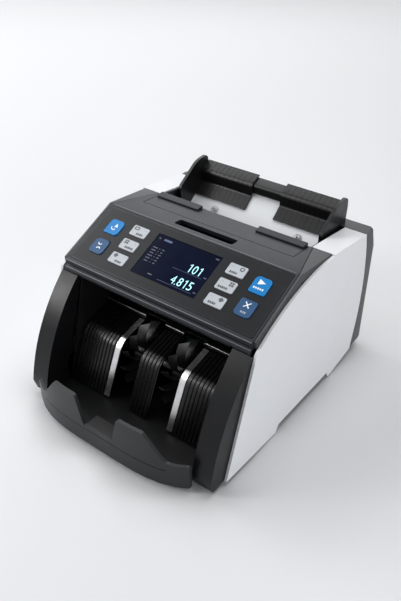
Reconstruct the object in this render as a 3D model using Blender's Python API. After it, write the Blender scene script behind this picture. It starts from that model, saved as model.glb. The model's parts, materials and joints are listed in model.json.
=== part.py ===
"""Desktop banknote counter with a top hopper, a tilting control unit and a front stacker pocket.

Metres, +X to the operator's right, +Y to the rear, +Z up. The origin lies on the table under the
middle of the machine. Side views are written as (y, z) pairs and plan views as (x, y) pairs.
"""
import math

import bmesh
import bpy
from mathutils import Matrix, Vector

# Clearances
GAP = 0.0003
RUN = 0.0005
SHAFT_PLAY = 0.0004

# Whole machine
BODY_WIDTH = 0.262
WALL = 0.003
FOOT_HEIGHT = 0.006
FOOT_RADIUS = 0.010
FOOT_INSET_X = 0.033
FOOT_FRONT_Y = -0.0942
FOOT_REAR_Y = 0.1118

# Tilting control unit, side view
PANEL_FOOT_Y = -0.0810
PANEL_FOOT_Z = 0.1515
PANEL_TILT = math.radians(24.8)
PANEL_LENGTH = 0.0866
TOP_FALL = math.radians(4.8)
TOP_LENGTH = 0.0613
NOSE_RADIUS = 0.005
COVER_SKIN = 0.005
COVER_DEPTH = 0.012
COVER_RIM = 0.0025
LIP_RIM = 0.0042
NOSE_DEPTH = 0.008
PLATE_THICKNESS = 0.0025
LIP_DROP = 0.0113
LIP_BACK = 0.0024
LIP_EDGE = 0.0016
LIP_GROOVE = 0.0022
LIP_HEEL = 0.012
WING_WIDTH = 0.0032
WING_REAR_WIDTH = 0.0225
WING_DEPTH = 0.010
HINGE_ROD_RADIUS = 0.0025
HINGE_EAR_RADIUS = 0.0038

# Finger slot, seams and throat flaps on the top plate, measured back from the panel's top edge
FINGER_SLOT_START = 0.0072
FINGER_SLOT_DEPTH = 0.0128
FINGER_SLOT_WIDTH = 0.078
SEAM_WIDTH = 0.0008
SEAM_DEPTH = 0.0010
SEAM_PLATE_WIDTH = 0.203
SEAM_PLATE_START = 0.0275
FLAP_INNER_X = 0.0393
FLAP_WIDTH = 0.0600
FLAP_LENGTH = 0.0100
FLAP_HEIGHT = 0.0042
FLAP_FRONT_ROUND = 0.0008
FLAP_REAR_ROUND = 0.0012

# Screen and keys, on the panel: x from its middle, s up from its lower edge
SCREEN_WIDTH = 0.0844
SCREEN_HEIGHT = 0.0547
SCREEN_S = 0.0453
SCREEN_RECESS = 0.0004
SCREEN_THICKNESS = 0.0040
LIGHT_KEY_X = 0.0648
LIGHT_KEY_WIDTH = 0.0216
LIGHT_KEY_HEIGHT = 0.0136
LIGHT_KEY_S = 0.0447
LIGHT_KEY_PITCH = 0.0199
BLUE_KEY_X = 0.0972
BLUE_KEY_WIDTH = 0.0190
BLUE_KEY_HEIGHT = 0.0198
BLUE_KEY_S = 0.0444
BLUE_KEY_PITCH = 0.0285
KEY_RISE = 0.0012
KEY_BELOW = 0.0036
KEY_EDGE = 0.0005
KEY_CORNER = 0.0018
KEY_BIG_CORNER = 0.0045
BOARD_THICKNESS = 0.0016

# Side panels
SIDE_FOOT_Y = -0.1262
SIDE_FOOT_RISE = 0.0010
SIDE_TOP_BULGE = 0.012
SIDE_REAR_BULGE = 0.0115
SIDE_REAR_RISE = 0.009
SHOULDER_FALL = math.radians(7.3)
SHOULDER_LENGTH = 0.0755
SHOULDER_WIDTH = 0.027
GRIP_FRONT_Y = -0.0292
GRIP_REAR_Y = 0.0768
GRIP_RISE = 0.005

# Rear cover
REAR_Y = 0.1703
REAR_TOP_Y = 0.1568
REAR_ROUND = 0.006
REAR_KNEE_Z = 0.105
REAR_TUCK_Y = 0.1613
REAR_CORNER = 0.014
VENT_COUNT = 7
VENT_PITCH = 0.010
VENT_WIDTH = 0.004
VENT_LENGTH = 0.034
VENT_INSET = 0.056
VENT_Z = 0.075

# Front columns
COLUMN_BULGE = 0.0105
COLUMN_TOE_Y = -0.1482
COLUMN_TOE_Z = 0.020
COLUMN_TOE_TUCK = 0.004
COLUMN_DEPTH = 0.011
COLUMN_WALL = 0.0028

# Inner frames and base pan
FRAME_THICKNESS = 0.002
FRAME_FRONT_Y = -0.1132
FRAME_DROP = 0.0155
PAN_FLOOR = 0.0025
PAN_RIM = 0.014
PAN_FRONT_Y = -0.1142

# Stacker tray
TRAY_FRONT_Y = -0.1727
TRAY_SWEEP = 0.0155
TRAY_WALL = 0.004
TRAY_END_REACH = 0.0030
TRAY_FLOOR = 0.003
TRAY_LIFT = 0.0070
TRAY_REAR_Y = -0.0512
TAB_TOP_Z = 0.068
TAB_INNER_X = 0.029
TAB_OUTER_X = 0.061
NOTCH_X = 0.0195
NOTCH_Z = 0.031
RIM_X = 0.085
RIM_Z = 0.037
TRAY_GROOVE_Z = 0.0275
LEDGE_DEPTH = 0.018
TRAY_FOOT_ROUND = 0.001
TRAY_END_ROUND = 0.003
TRAY_RIM_ROUND = 0.008
TAB_OUTER_ROUND = 0.005
TAB_INNER_ROUND = 0.004
NOTCH_ROUND = 0.004

# Stacker
WHEEL_Y = -0.0642
WHEEL_Z = 0.055
WHEEL_RADIUS = 0.042
WHEEL_X = 0.0275
WHEEL_WIDTH = 0.012
WHEEL_HUB_RADIUS = 0.013
FIN_COUNT = 12
FIN_THICKNESS = 0.0030
FIN_SWEEP = math.radians(38)
FIN_SLANT = 0.007
WHEEL_SLOT = 0.0285
STACKER_SHAFT_RADIUS = 0.004
GUIDE_TOP_Y = -0.0462
GUIDE_TOP_Z = 0.083
GUIDE_KNEE_Y = -0.0847
GUIDE_KNEE_Z = 0.0735
GUIDE_TOE_Y = -0.1122
GUIDE_KNEE_RADIUS = 0.020
GUIDE_WALL = 0.0025
RIB_PITCH = 0.0049
RIB_WIDTH = 0.0034
RIB_HEIGHT = 0.0012
STRIP_WIDTH = 0.0075
STRIP_THICKNESS = 0.0008

# Note path
PATH_FRONT_Y = -0.0422
PATH_FRONT_Z = 0.090
PATH_RISE = math.radians(15.55)
PATH_LENGTH = 0.109
PATH_GAP = 0.004
PATH_WALL = 0.0025
PATH_LIP = 0.010
HOOD_FRONT_S = 0.004
TYRE_X = 0.028
TYRE_WIDTH = 0.018
TYRE_STANDOUT = 0.001
TRANSPORT_S = 0.046
TRANSPORT_RADIUS = 0.017
TRANSPORT_SHAFT_RADIUS = 0.005
PINCH_RADIUS = 0.008
PINCH_SHAFT_RADIUS = 0.003
SENSOR_S = 0.079
SENSOR_DEPTH = 0.015
SENSOR_HEIGHT = 0.010
SENSOR_MARGIN = 0.006

# Hopper
FEED_Y = 0.1082
FEED_Z = 0.1547
FEED_TILT = math.radians(40.3)
FEED_LOW = -0.054
FEED_HIGH = 0.0355
FEED_PLATE = 0.0025
FEED_ROLLER_S = -0.0345
FEED_ROLLER_RADIUS = 0.014
FEED_STANDOUT = 0.002
SCREW_X = 0.0588
SCREW_SHANK = 0.0015
SCREW_HEAD = 0.0034
WASHER_RADIUS = 0.0048
SCREW_RISE = 0.0022
WASHER_RISE = 0.0010
SCREW_LENGTH = 0.008
BAR_HALF_WIDTH = 0.095
BAR_FRONT_Y = 0.1320
BAR_BOTTOM_Z = 0.1795
BAR_NOSE_Z = 0.1900
BAR_REAR_Y = 0.1458
BAR_TOP_Z = 0.1955
BAR_SEAT_Y = 0.1378
BAR_NOSE_ROUND = 0.0045
BAR_EDGE_ROUND = 0.001
GUIDE_INNER_X = 0.020
GUIDE_SKIN = 0.0018
GUIDE_LOW = 0.0115
NOTE_RIB_PITCH = 0.0068
NOTE_RIB_WIDTH = 0.0056
NOTE_RIB_HEIGHT = 0.0006
GUIDE_BEND_ROUND = 0.004
GUIDE_NOSE_ROUND = 0.0055
CHEEK_THICKNESS = 0.004
CHEEK_SIDE_GAP = 0.002
CHEEK_FRONT_Y = 0.0878
CHEEK_FRONT_Z = 0.182
CHEEK_SHOULDER_Y = 0.1198
CHEEK_SHOULDER_Z = 0.2035
CHEEK_TOP_Y = 0.1348
CHEEK_TOP_RADIUS = 0.009
CHEEK_TOP_Z = 0.207
CHEEK_SHOULDER_ROUND = 0.012

# Drive
PULLEY_WIDTH = 0.006
PULLEY_STANDOFF = 0.004
PULLEY_FLANGE = 0.0010
BELT_THICKNESS = 0.0014
STACKER_PULLEY = 0.016
TRANSPORT_PULLEY = 0.014
FEED_PULLEY = 0.011
MOTOR_PULLEY = 0.008
MOTOR_Y = 0.0538
MOTOR_Z = 0.052
MOTOR_RADIUS = 0.018
MOTOR_LENGTH = 0.056
MOTOR_CHAMFER = 0.0028
MOTOR_SHAFT = 0.0025
MOTOR_BOSS = 0.008

# Electronics
PCB_MARGIN = 0.0065
PCB_Y = 0.0688
PCB_WIDTH = 0.088
PCB_LENGTH = 0.104
PCB_RISE = 0.006
POST_RADIUS = 0.003
POST_INSET = 0.006
CHIP_HEIGHT = 0.007
SUPPLY_MARGIN = 0.0045
SUPPLY_Y = 0.0858
SUPPLY_WIDTH = 0.074
SUPPLY_LENGTH = 0.074
SUPPLY_HEIGHT = 0.036
SUPPLY_ROUND = 0.002
INLET_INSET = 0.065
INLET_Z = 0.046
INLET_WIDTH = 0.062
INLET_HEIGHT = 0.034
INLET_DEPTH = 0.026
FLANGE_THICKNESS = 0.0012
FLANGE_RIM = 0.003
FLANGE_ROUND = 0.003
SOCKET_X = -0.011
SOCKET_WIDTH = 0.0245
SOCKET_HEIGHT = 0.0170
SOCKET_DEPTH = 0.018
SOCKET_ROUND = 0.0045
SOCKET_LOW_ROUND = 0.001
SWITCH_X = 0.0175
SWITCH_WIDTH = 0.0130
SWITCH_HEIGHT = 0.0200
SWITCH_THROW = math.radians(8)
SWITCH_AXIS_DEPTH = 0.0045

# Facets
ROUND_SIDES = 16
SMALL_SIDES = 12
BELT_SIDES = 24
ARC_STEPS = 8

# Sizes that follow
HALF = BODY_WIDTH / 2
TRIM_HALF = HALF - WALL - GAP
COVER_HALF = TRIM_HALF - WING_WIDTH - RUN
COLUMN_INNER = HALF - SHOULDER_WIDTH
FRAME_OUTER = COLUMN_INNER - RUN
FRAME_INNER = FRAME_OUTER - FRAME_THICKNESS
SPAN_HALF = FRAME_INNER - GAP
PAN_TOP_Z = FOOT_HEIGHT + PAN_FLOOR
TRAY_FLOOR_Z = PAN_TOP_Z + GAP + TRAY_FLOOR
PCB_X = PCB_MARGIN + PCB_WIDTH / 2 - FRAME_INNER
SUPPLY_X = FRAME_INNER - SUPPLY_MARGIN - SUPPLY_WIDTH / 2
INLET_X = HALF - INLET_INSET
VENT_X = VENT_INSET - HALF


def panel_point(s, n):
    """Side-view point s up the control panel from its foot and n out of its face."""
    return (PANEL_FOOT_Y + s * math.cos(PANEL_TILT) - n * math.sin(PANEL_TILT),
            PANEL_FOOT_Z + s * math.sin(PANEL_TILT) + n * math.cos(PANEL_TILT))


def top_point(t, n):
    """Side-view point t behind the panel's top edge along the top plate, n above it."""
    y, z = panel_point(PANEL_LENGTH, 0)
    return (y + t * math.cos(TOP_FALL) + n * math.sin(TOP_FALL),
            z - t * math.sin(TOP_FALL) + n * math.cos(TOP_FALL))


def crest_point(n):
    """Side-view corner where the panel meets the top plate, n above both."""
    return panel_point(PANEL_LENGTH + n * math.tan((PANEL_TILT + TOP_FALL) / 2), n)


def path_point(s, n):
    """Side-view point s back along the note path's floor and n above it."""
    return (PATH_FRONT_Y + s * math.cos(PATH_RISE) - n * math.sin(PATH_RISE),
            PATH_FRONT_Z + s * math.sin(PATH_RISE) + n * math.cos(PATH_RISE))


def feed_point(s, n):
    """Side-view point s up the feed plate from its screws and n above its face."""
    return (FEED_Y + s * math.cos(FEED_TILT) - n * math.sin(FEED_TILT),
            FEED_Z + s * math.sin(FEED_TILT) + n * math.cos(FEED_TILT))


def shoulder_point(t, n):
    """Side-view point t back along the white shoulder and n above it."""
    y, z = top_point(TOP_LENGTH, 0)
    return (y + GAP + t * math.cos(SHOULDER_FALL) + n * math.sin(SHOULDER_FALL),
            z - t * math.sin(SHOULDER_FALL) + n * math.cos(SHOULDER_FALL))


HINGE = (PANEL_FOOT_Y + LIP_BACK, PANEL_FOOT_Z - LIP_DROP)
SIDE_BROW = (HINGE[0] - 0.7 * NOSE_RADIUS, HINGE[1] + 0.3 * NOSE_RADIUS)
TOP_REAR_Y = top_point(TOP_LENGTH, 0)[0]
SHOULDER_REAR = shoulder_point(SHOULDER_LENGTH, 0)
TRANSPORT = path_point(TRANSPORT_S, TYRE_STANDOUT - TRANSPORT_RADIUS)
PINCH = path_point(TRANSPORT_S, TYRE_STANDOUT + GAP + PINCH_RADIUS)
FEED_ROLLER = feed_point(FEED_ROLLER_S, FEED_STANDOUT - FEED_ROLLER_RADIUS)
STACKER = (WHEEL_Y, WHEEL_Z)
MOTOR = (MOTOR_Y, MOTOR_Z)
CHEEK_OUTER = FRAME_INNER - CHEEK_SIDE_GAP
CHEEK_INNER = CHEEK_OUTER - CHEEK_THICKNESS
REAR_TOP_Z = SHOULDER_REAR[1]
PULLEY_OUTER = FRAME_OUTER + PULLEY_STANDOFF + PULLEY_WIDTH


def arc(centre, radius, start, end, steps=ARC_STEPS):
    """Points of a circular arc, both ends included, angles in radians."""
    return [(centre[0] + radius * math.cos(start + (end - start) * i / steps),
             centre[1] + radius * math.sin(start + (end - start) * i / steps))
            for i in range(steps + 1)]


def circle(centre, radius, sides=ROUND_SIDES):
    """Points of a full circle."""
    return arc(centre, radius, 0, 2 * math.pi * (1 - 1 / sides), sides - 1)


def bulge(first, last, height, steps=ARC_STEPS):
    """Circular arc from first to last that rises by height to the left of the chord."""
    a, b = Vector(first), Vector(last)
    chord = (b - a).length
    along = (b - a) / chord
    left = Vector((-along.y, along.x))
    radius = (chord * chord / 4 + height * height) / (2 * height)
    centre = (a + b) / 2 + left * (height - radius)
    half = math.asin(chord / (2 * radius))
    turn = math.atan2(left.y, left.x)
    return arc(centre, radius, turn + half, turn - half, steps)


def rounded(points, radii, steps=4):
    """Open run of points with its inner corners rounded; the ends keep their places."""
    run = [points[0]]
    for before, corner, after, radius in zip(points, points[1:], points[2:], radii):
        run += round_corner(before, corner, after, radius, steps)
    return run + [points[-1]]


def round_corner(before, corner, after, radius, steps):
    """Arc that replaces one corner of an outline."""
    c = Vector(corner)
    u = (Vector(before) - c).normalized()
    v = (Vector(after) - c).normalized()
    half = u.angle(v) / 2
    start = c + u * radius / math.tan(half)
    end = c + v * radius / math.tan(half)
    centre = c + (u + v).normalized() * radius / math.sin(half)
    first = math.atan2(start.y - centre.y, start.x - centre.x)
    sweep = math.atan2(end.y - centre.y, end.x - centre.x) - first
    sweep = (sweep + math.pi) % (2 * math.pi) - math.pi
    return arc(centre, radius, first, first + sweep, steps)


def rounded_loop(points, radii, steps=3):
    """Closed outline with every corner rounded by its own radius."""
    count = len(points)
    loop = []
    for i in range(count):
        loop += round_corner(points[i - 1], points[i], points[(i + 1) % count], radii[i], steps)
    return loop


def rectangle(x, y, width, height):
    """Corners of an upright rectangle about its middle."""
    return [(x - width / 2, y - height / 2), (x + width / 2, y - height / 2),
            (x + width / 2, y + height / 2), (x - width / 2, y + height / 2)]


def mirrored(points):
    """Outline of a plan view made whole about x = 0 from its right half."""
    return points + [(-x, y) for x, y in reversed(points)]


def finish(name, colour, roughness, metallic=0.0):
    """Principled material of one piece."""
    material = bpy.data.materials.new(name)
    material.use_nodes = True
    shader = material.node_tree.nodes["Principled BSDF"]
    shader.inputs["Base Color"].default_value = (*colour, 1)
    shader.inputs["Roughness"].default_value = roughness
    shader.inputs["Metallic"].default_value = metallic
    return material


WHITE = ((0.60, 0.62, 0.65), 0.35)
DARK = ((0.10, 0.105, 0.115), 0.40)
BLACK = ((0.025, 0.026, 0.030), 0.45)
SLATE = ((0.16, 0.17, 0.19), 0.40)
PANEL = ((0.035, 0.043, 0.055), 0.25)
LIGHT = ((0.48, 0.52, 0.57), 0.40)
BLUE = ((0.03, 0.26, 0.62), 0.35)
GLASS = ((0.012, 0.017, 0.037), 0.08)
STEEL = ((0.60, 0.60, 0.62), 0.25, 1.0)
RUBBER = ((0.03, 0.03, 0.032), 0.80)
GREEN = ((0.02, 0.18, 0.08), 0.45)


def piece(name, shape, look, origin=None):
    """Object of one node, with its own material and its origin on its joint's axis if it has one."""
    bmesh.ops.recalc_face_normals(shape, faces=shape.faces)
    mesh = bpy.data.meshes.new(name)
    if origin is not None:
        bmesh.ops.translate(shape, vec=-Vector(origin), verts=shape.verts)
    shape.to_mesh(mesh)
    shape.free()
    mesh.shade_smooth()
    mesh.set_sharp_from_angle(angle=math.radians(35))
    thing = bpy.data.objects.new(name, mesh)
    if origin is not None:
        thing.location = origin
    bpy.context.scene.collection.objects.link(thing)
    if look is None:
        thing.hide_render = True
        thing.display_type = "WIRE"
    else:
        mesh.materials.append(finish(name, *look))
    return thing


def place(axis, a, b, along):
    """Point of a view: x takes (y, z), y takes (x, z) and z takes (x, y)."""
    return {"x": (along, a, b), "y": (a, along, b), "z": (a, b, along)}[axis]


def prism_shape(outline, axis, low, high):
    """Closed solid made by extruding an outline along one axis."""
    shape = bmesh.new()
    base = shape.faces.new([shape.verts.new(place(axis, a, b, low)) for a, b in outline])
    top = bmesh.ops.extrude_face_region(shape, geom=[base])["geom"]
    moved = [item for item in top if isinstance(item, bmesh.types.BMVert)]
    bmesh.ops.translate(shape, vec=place(axis, 0, 0, high - low), verts=moved)
    return shape


def prism(name, outline, axis, low, high, look=None, origin=None):
    """Extruded piece, or a cutter when it has no look."""
    return piece(name, prism_shape(outline, axis, low, high), look, origin)


def turned(name, profile, centre, look):
    """Piece turned about the X axis through centre, from (x, radius) pairs."""
    shape = bmesh.new()
    ends = [(profile[0][0], 0.0), *profile, (profile[-1][0], 0.0)]
    verts = [shape.verts.new((x, 0, radius)) for x, radius in ends]
    edges = [shape.edges.new(pair) for pair in zip(verts, verts[1:])]
    bmesh.ops.spin(shape, geom=verts + edges, cent=(0, 0, 0), axis=(1, 0, 0), angle=2 * math.pi,
                   steps=ROUND_SIDES, use_merge=True)
    bmesh.ops.remove_doubles(shape, verts=shape.verts, dist=1e-7)
    origin = (0, *centre)
    bmesh.ops.translate(shape, vec=origin, verts=shape.verts)
    return piece(name, shape, look, origin)


def swept(path, section):
    """Closed solid made by carrying an (x, height) section along a side-view path."""
    shape = bmesh.new()
    rings = []
    for i, point in enumerate(path):
        before = Vector(path[max(i - 1, 0)])
        after = Vector(path[min(i + 1, len(path) - 1)])
        along = (after - before).normalized()
        out = Vector((-along.y, along.x))
        rings.append([shape.verts.new((x, point[0] + out.x * h, point[1] + out.y * h))
                      for x, h in section])
    count = len(section)
    for first, second in zip(rings, rings[1:]):
        for j in range(count):
            shape.faces.new((first[j], first[(j + 1) % count], second[(j + 1) % count], second[j]))
    shape.faces.new(rings[0])
    shape.faces.new(rings[-1])
    return shape


def comb(low, high, first, last, pitch, width, height, wall):
    """Section with ribs between first and last on a wall from low to high."""
    count = int((last - first + pitch - width) / pitch + 1e-6)
    start = (first + last - (count - 1) * pitch - width) / 2
    top = [(low, 0)]
    for i in range(count):
        x = start + i * pitch
        top += [(x, 0), (x, height), (x + width, height), (x + width, 0)]
    return top + [(high, 0), (high, -wall), (low, -wall)]


def combine(target, tool, operation):
    """Boolean of one piece by another."""
    step = target.modifiers.new(tool.name, "BOOLEAN")
    step.operation = operation
    step.object = tool
    tool.hide_render = True
    tool.display_type = "WIRE"
    return target


def cut(target, *tools):
    """Remove the tools from a piece."""
    for tool in tools:
        combine(target, tool, "DIFFERENCE")
    return target


def fuse(target, *tools):
    """Join the tools to a piece."""
    for tool in tools:
        combine(target, tool, "UNION")
    return target


def box(name, x, y, z):
    """Cutter box from three (low, high) spans."""
    return prism(name, [(x[0], y[0]), (x[1], y[0]), (x[1], y[1]), (x[0], y[1])], "z", z[0], z[1])


def bore(name, centre, radius, low, high):
    """Round cutter along X."""
    return prism(name, circle(centre, radius), "x", low, high)


def tilted_prism(name, outline, low, high, look=None, origin_at=None, edge=0.0):
    """Prism standing on the control panel, from an (x, s) outline, with its top edge chamfered by edge."""
    shape = prism_shape(outline, "z", low, high)
    if edge:
        top = [e for e in shape.edges if all(abs(v.co.z - high) < edge / 2 for v in e.verts)]
        bmesh.ops.bevel(shape, geom=top, offset=edge, affect="EDGES", segments=1, profile=0.5, material=-1)
    foot = Matrix.Translation((0, PANEL_FOOT_Y, PANEL_FOOT_Z))
    bmesh.ops.transform(shape, matrix=foot @ Matrix.Rotation(PANEL_TILT, 4, "X"), verts=shape.verts)
    origin = None
    if origin_at is not None:
        origin = (origin_at[0], *panel_point(origin_at[1], 0))
    return piece(name, shape, look, origin)


def side_range(side, inner, outer):
    """Low and high x of a piece on one side of the machine."""
    return (inner, outer) if side > 0 else (-outer, -inner)


# Base and feet

def build_base():
    """Pan with side rims and posts for the board, on four rubber feet."""
    half = TRIM_HALF
    rim = FOOT_HEIGHT + PAN_RIM
    inside = half - PAN_FLOOR
    outline = [(-half, FOOT_HEIGHT), (half, FOOT_HEIGHT), (half, rim), (inside, rim),
               (inside, PAN_TOP_Z), (-inside, PAN_TOP_Z), (-inside, rim), (-half, rim)]
    pan = prism("base_pan", outline, "y", PAN_FRONT_Y, SHOULDER_REAR[0] - GAP, BLACK)
    posts = rectangle(PCB_X, PCB_Y, PCB_WIDTH - 2 * POST_INSET, PCB_LENGTH - 2 * POST_INSET)
    for i, middle in enumerate(posts):
        post = circle(middle, POST_RADIUS, SMALL_SIDES)
        fuse(pan, prism(f"post_{i}", post, "z", FOOT_HEIGHT + PAN_FLOOR / 2, PAN_TOP_Z + PCB_RISE))
    for side, hand in ((-1, "left"), (1, "right")):
        build_foot(f"foot_front_{hand}", side * (HALF - FOOT_INSET_X), FOOT_FRONT_Y)
        build_foot(f"foot_rear_{hand}", side * (HALF - FOOT_INSET_X), FOOT_REAR_Y)


def build_foot(name, x, y):
    """Rubber foot with a waist under the pan."""
    shape = bmesh.new()
    top = FOOT_HEIGHT - GAP
    profile = [(0, top), (FOOT_RADIUS, top), (FOOT_RADIUS, top * 0.6), (FOOT_RADIUS * 0.9, top * 0.5),
               (FOOT_RADIUS * 0.9, top * 0.12), (FOOT_RADIUS * 0.82, 0), (0, 0)]
    verts = [shape.verts.new((radius, 0, z)) for radius, z in profile]
    edges = [shape.edges.new(pair) for pair in zip(verts, verts[1:])]
    bmesh.ops.spin(shape, geom=verts + edges, cent=(0, 0, 0), axis=(0, 0, 1), angle=2 * math.pi,
                   steps=ROUND_SIDES, use_merge=True)
    bmesh.ops.remove_doubles(shape, verts=shape.verts, dist=1e-7)
    bmesh.ops.translate(shape, vec=(x, y, 0), verts=shape.verts)
    piece(name, shape, RUBBER)


# Outer shells

def side_rear_edge(shift):
    """Bowed rear edge of a side panel, from the shoulder down, moved back by shift."""
    top = (SHOULDER_REAR[0] + shift, SHOULDER_REAR[1])
    foot = (SHOULDER_REAR[0] + shift, FOOT_HEIGHT + SIDE_REAR_RISE)
    return bulge(top, foot, SIDE_REAR_BULGE, 10)


def build_side_panel(side, hand):
    """White shell: side wall with a grip recess, and the shoulder beside the hopper."""
    z = FOOT_HEIGHT
    wing_foot = top_point(TOP_LENGTH, 0)
    top = bulge(SIDE_BROW, (wing_foot[0], wing_foot[1] - WALL / 2), SIDE_TOP_BULGE, 14)
    bottom = [(GRIP_REAR_Y + GRIP_RISE, z), (GRIP_REAR_Y, z + GRIP_RISE), (GRIP_FRONT_Y, z + GRIP_RISE),
              (GRIP_FRONT_Y - GRIP_RISE, z), (SIDE_FOOT_Y, z + SIDE_FOOT_RISE)]
    outline = top + [shoulder_point(0, 0)] + side_rear_edge(0) + bottom
    wall = prism(f"{hand}_side_panel", outline, "x", *side_range(side, HALF - WALL, HALF), WHITE)
    strip = [shoulder_point(0, 0), shoulder_point(SHOULDER_LENGTH, 0),
             shoulder_point(SHOULDER_LENGTH, -WALL), (shoulder_point(0, 0)[0], shoulder_point(0, -WALL)[1])]
    fuse(wall, prism(f"{hand}_shoulder", strip, "x", *side_range(side, COLUMN_INNER, HALF - WALL / 2)))


def rear_outline(inset):
    """Side view of the rear cover's outside, drawn in by inset."""
    top = REAR_TOP_Z - inset
    foot = FOOT_HEIGHT + SIDE_REAR_RISE + inset
    front = SHOULDER_REAR[0] + GAP
    corners = [(front, top), (REAR_TOP_Y - inset, top), (REAR_Y - inset, REAR_KNEE_Z),
               (REAR_Y - inset, foot + REAR_ROUND), (REAR_TUCK_Y - inset, foot), (front, foot)]
    return rounded(corners, (REAR_ROUND, 10 * REAR_ROUND, REAR_ROUND / 2, REAR_ROUND / 2))


def rear_plan(inset):
    """Plan view of the rear cover with its rear corners rounded, drawn in by inset."""
    half = HALF - inset
    rear = REAR_Y - inset
    right = [(half, SHOULDER_REAR[0] - 2 * SIDE_REAR_BULGE), (half, rear), (half - 2 * REAR_CORNER, rear)]
    return mirrored(rounded(right, [REAR_CORNER - inset], 4))


def build_rear_cover():
    """Rear shell, open to the front, with a cut-out for the inlet and a row of vents."""
    cover = prism("rear_cover", rear_outline(0) + list(reversed(side_rear_edge(GAP)))[1:-1], "x",
                  -HALF, HALF, DARK)
    combine(cover, prism("rear_plan", rear_plan(0), "z", 0, 2 * REAR_TOP_Z), "INTERSECT")
    hollow = rear_outline(WALL)
    front = SHOULDER_REAR[0] - SIDE_REAR_BULGE
    hollow = [(front, hollow[0][1])] + hollow + [(front, hollow[-1][1])]
    inside = prism("rear_hollow", hollow, "x", WALL - HALF, HALF - WALL)
    combine(inside, prism("rear_hollow_plan", rear_plan(WALL), "z", 0, 2 * REAR_TOP_Z), "INTERSECT")
    cut(cover, inside)
    body = rectangle(INLET_X, INLET_Z, INLET_WIDTH - 2 * FLANGE_RIM + 2 * GAP,
                     INLET_HEIGHT - 2 * FLANGE_RIM + 2 * GAP)
    cut(cover, prism("inlet_window", body, "y", REAR_Y - 2 * WALL, REAR_Y + WALL))
    for i in range(VENT_COUNT):
        x = VENT_X + (i - (VENT_COUNT - 1) / 2) * VENT_PITCH
        slot = rectangle(x, VENT_Z, VENT_WIDTH, VENT_LENGTH)
        cut(cover, prism(f"vent_{i}", slot, "y", REAR_Y - 2 * WALL, REAR_Y + WALL))


def build_column(side, hand):
    """Front column, hollow from behind, with a top that clears the lip of the control unit."""
    head = NOSE_RADIUS + RUN
    start = math.radians(200)
    lip = arc(HINGE, head, math.radians(265), start, 5)
    toe = (COLUMN_TOE_Y, COLUMN_TOE_Z)
    front = list(reversed(bulge(toe, lip[-1], COLUMN_BULGE, 12)))
    foot = [(COLUMN_TOE_Y + COLUMN_TOE_TUCK, FOOT_HEIGHT), (PAN_FRONT_Y - GAP, FOOT_HEIGHT)]
    heel = (SIDE_FOOT_Y + COLUMN_DEPTH, FOOT_HEIGHT + COLUMN_TOE_Z)
    outline = lip + front[1:] + foot + [(PAN_FRONT_Y - GAP, heel[1]), heel]
    inner, outer = side_range(side, COLUMN_INNER, TRIM_HALF)
    column = prism(f"{hand}_column", outline, "x", inner, outer, BLACK)
    low = FOOT_HEIGHT + COLUMN_WALL
    crown = (lip[-1][0] + 2 * COLUMN_WALL, lip[-1][1] - head)
    hollow = bulge((toe[0] + COLUMN_WALL, low), crown, COLUMN_BULGE, 10)
    rear = SIDE_FOOT_Y + 6 * COLUMN_DEPTH
    hollow += [(rear, crown[1]), (rear, low)]
    cut(column, prism(f"{hand}_column_hollow", hollow, "x", inner + COLUMN_WALL, outer - COLUMN_WALL))


def wing_edge():
    """Plan view of the seam between the tilting unit and the right wing."""
    crest = panel_point(PANEL_LENGTH, 0)[0]
    inner = TRIM_HALF - WING_WIDTH
    return [(inner, crest), (TRIM_HALF - WING_REAR_WIDTH, TOP_REAR_Y)]


def build_wing(side, hand):
    """Fixed trim beside the control unit, wider behind the panel."""
    front = panel_point(LIP_GROOVE, 0)[0]
    seam = wing_edge()
    plan = [(TRIM_HALF - WING_WIDTH, front), *seam, (TRIM_HALF, TOP_REAR_Y), (TRIM_HALF, front)]
    wing = prism(f"{hand}_wing", [(side * x, y) for x, y in plan], "z", 0, 2 * PANEL_FOOT_Z, DARK)
    deep = -WING_DEPTH
    band = [panel_point(0, 0), crest_point(0), top_point(TOP_LENGTH + WALL, 0),
            top_point(TOP_LENGTH + WALL, deep), crest_point(deep), panel_point(0, deep)]
    combine(wing, prism(f"{hand}_wing_band", band, "x", -HALF, HALF), "INTERSECT")


# Inner frames

def build_frame(side, hand):
    """Steel side plate that carries the shafts, with an ear for the hinge rod."""
    ear = arc(HINGE, HINGE_EAR_RADIUS, math.radians(264), math.radians(-60), 12)
    drop = -FRAME_DROP
    back = shoulder_point(SHOULDER_LENGTH - 2 * WALL, -WALL / 2)
    low = PAN_TOP_Z + GAP
    step = TOP_REAR_Y + 2 * RUN
    neck = panel_point(2 * NOSE_DEPTH, drop - 2 * NOSE_RADIUS)
    outline = [(FRAME_FRONT_Y, low), *ear, neck, crest_point(drop),
               top_point(TOP_LENGTH, drop), (step, top_point(TOP_LENGTH, drop)[1]),
               (step, shoulder_point(0, -WALL / 2)[1]), back, (back[0], low)]
    plate = prism(f"{hand}_frame", outline, "x", *side_range(side, FRAME_INNER, FRAME_OUTER), BLACK)
    holes = [("rod", HINGE, HINGE_ROD_RADIUS), ("stacker", STACKER, STACKER_SHAFT_RADIUS),
             ("transport", TRANSPORT, TRANSPORT_SHAFT_RADIUS),
             ("feed", FEED_ROLLER, TRANSPORT_SHAFT_RADIUS)]
    if side < 0:
        holes.append(("motor", MOTOR, MOTOR_BOSS))
    for label, centre, radius in holes:
        cut(plate, bore(f"{hand}_{label}_hole", centre, radius + SHAFT_PLAY, -HALF, HALF))


# Stacker pocket

def tray_front(x):
    """Depth of the tray's bowed front at one place across it."""
    return TRAY_FRONT_Y + TRAY_SWEEP * (abs(x) / COLUMN_INNER) ** 4


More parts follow.
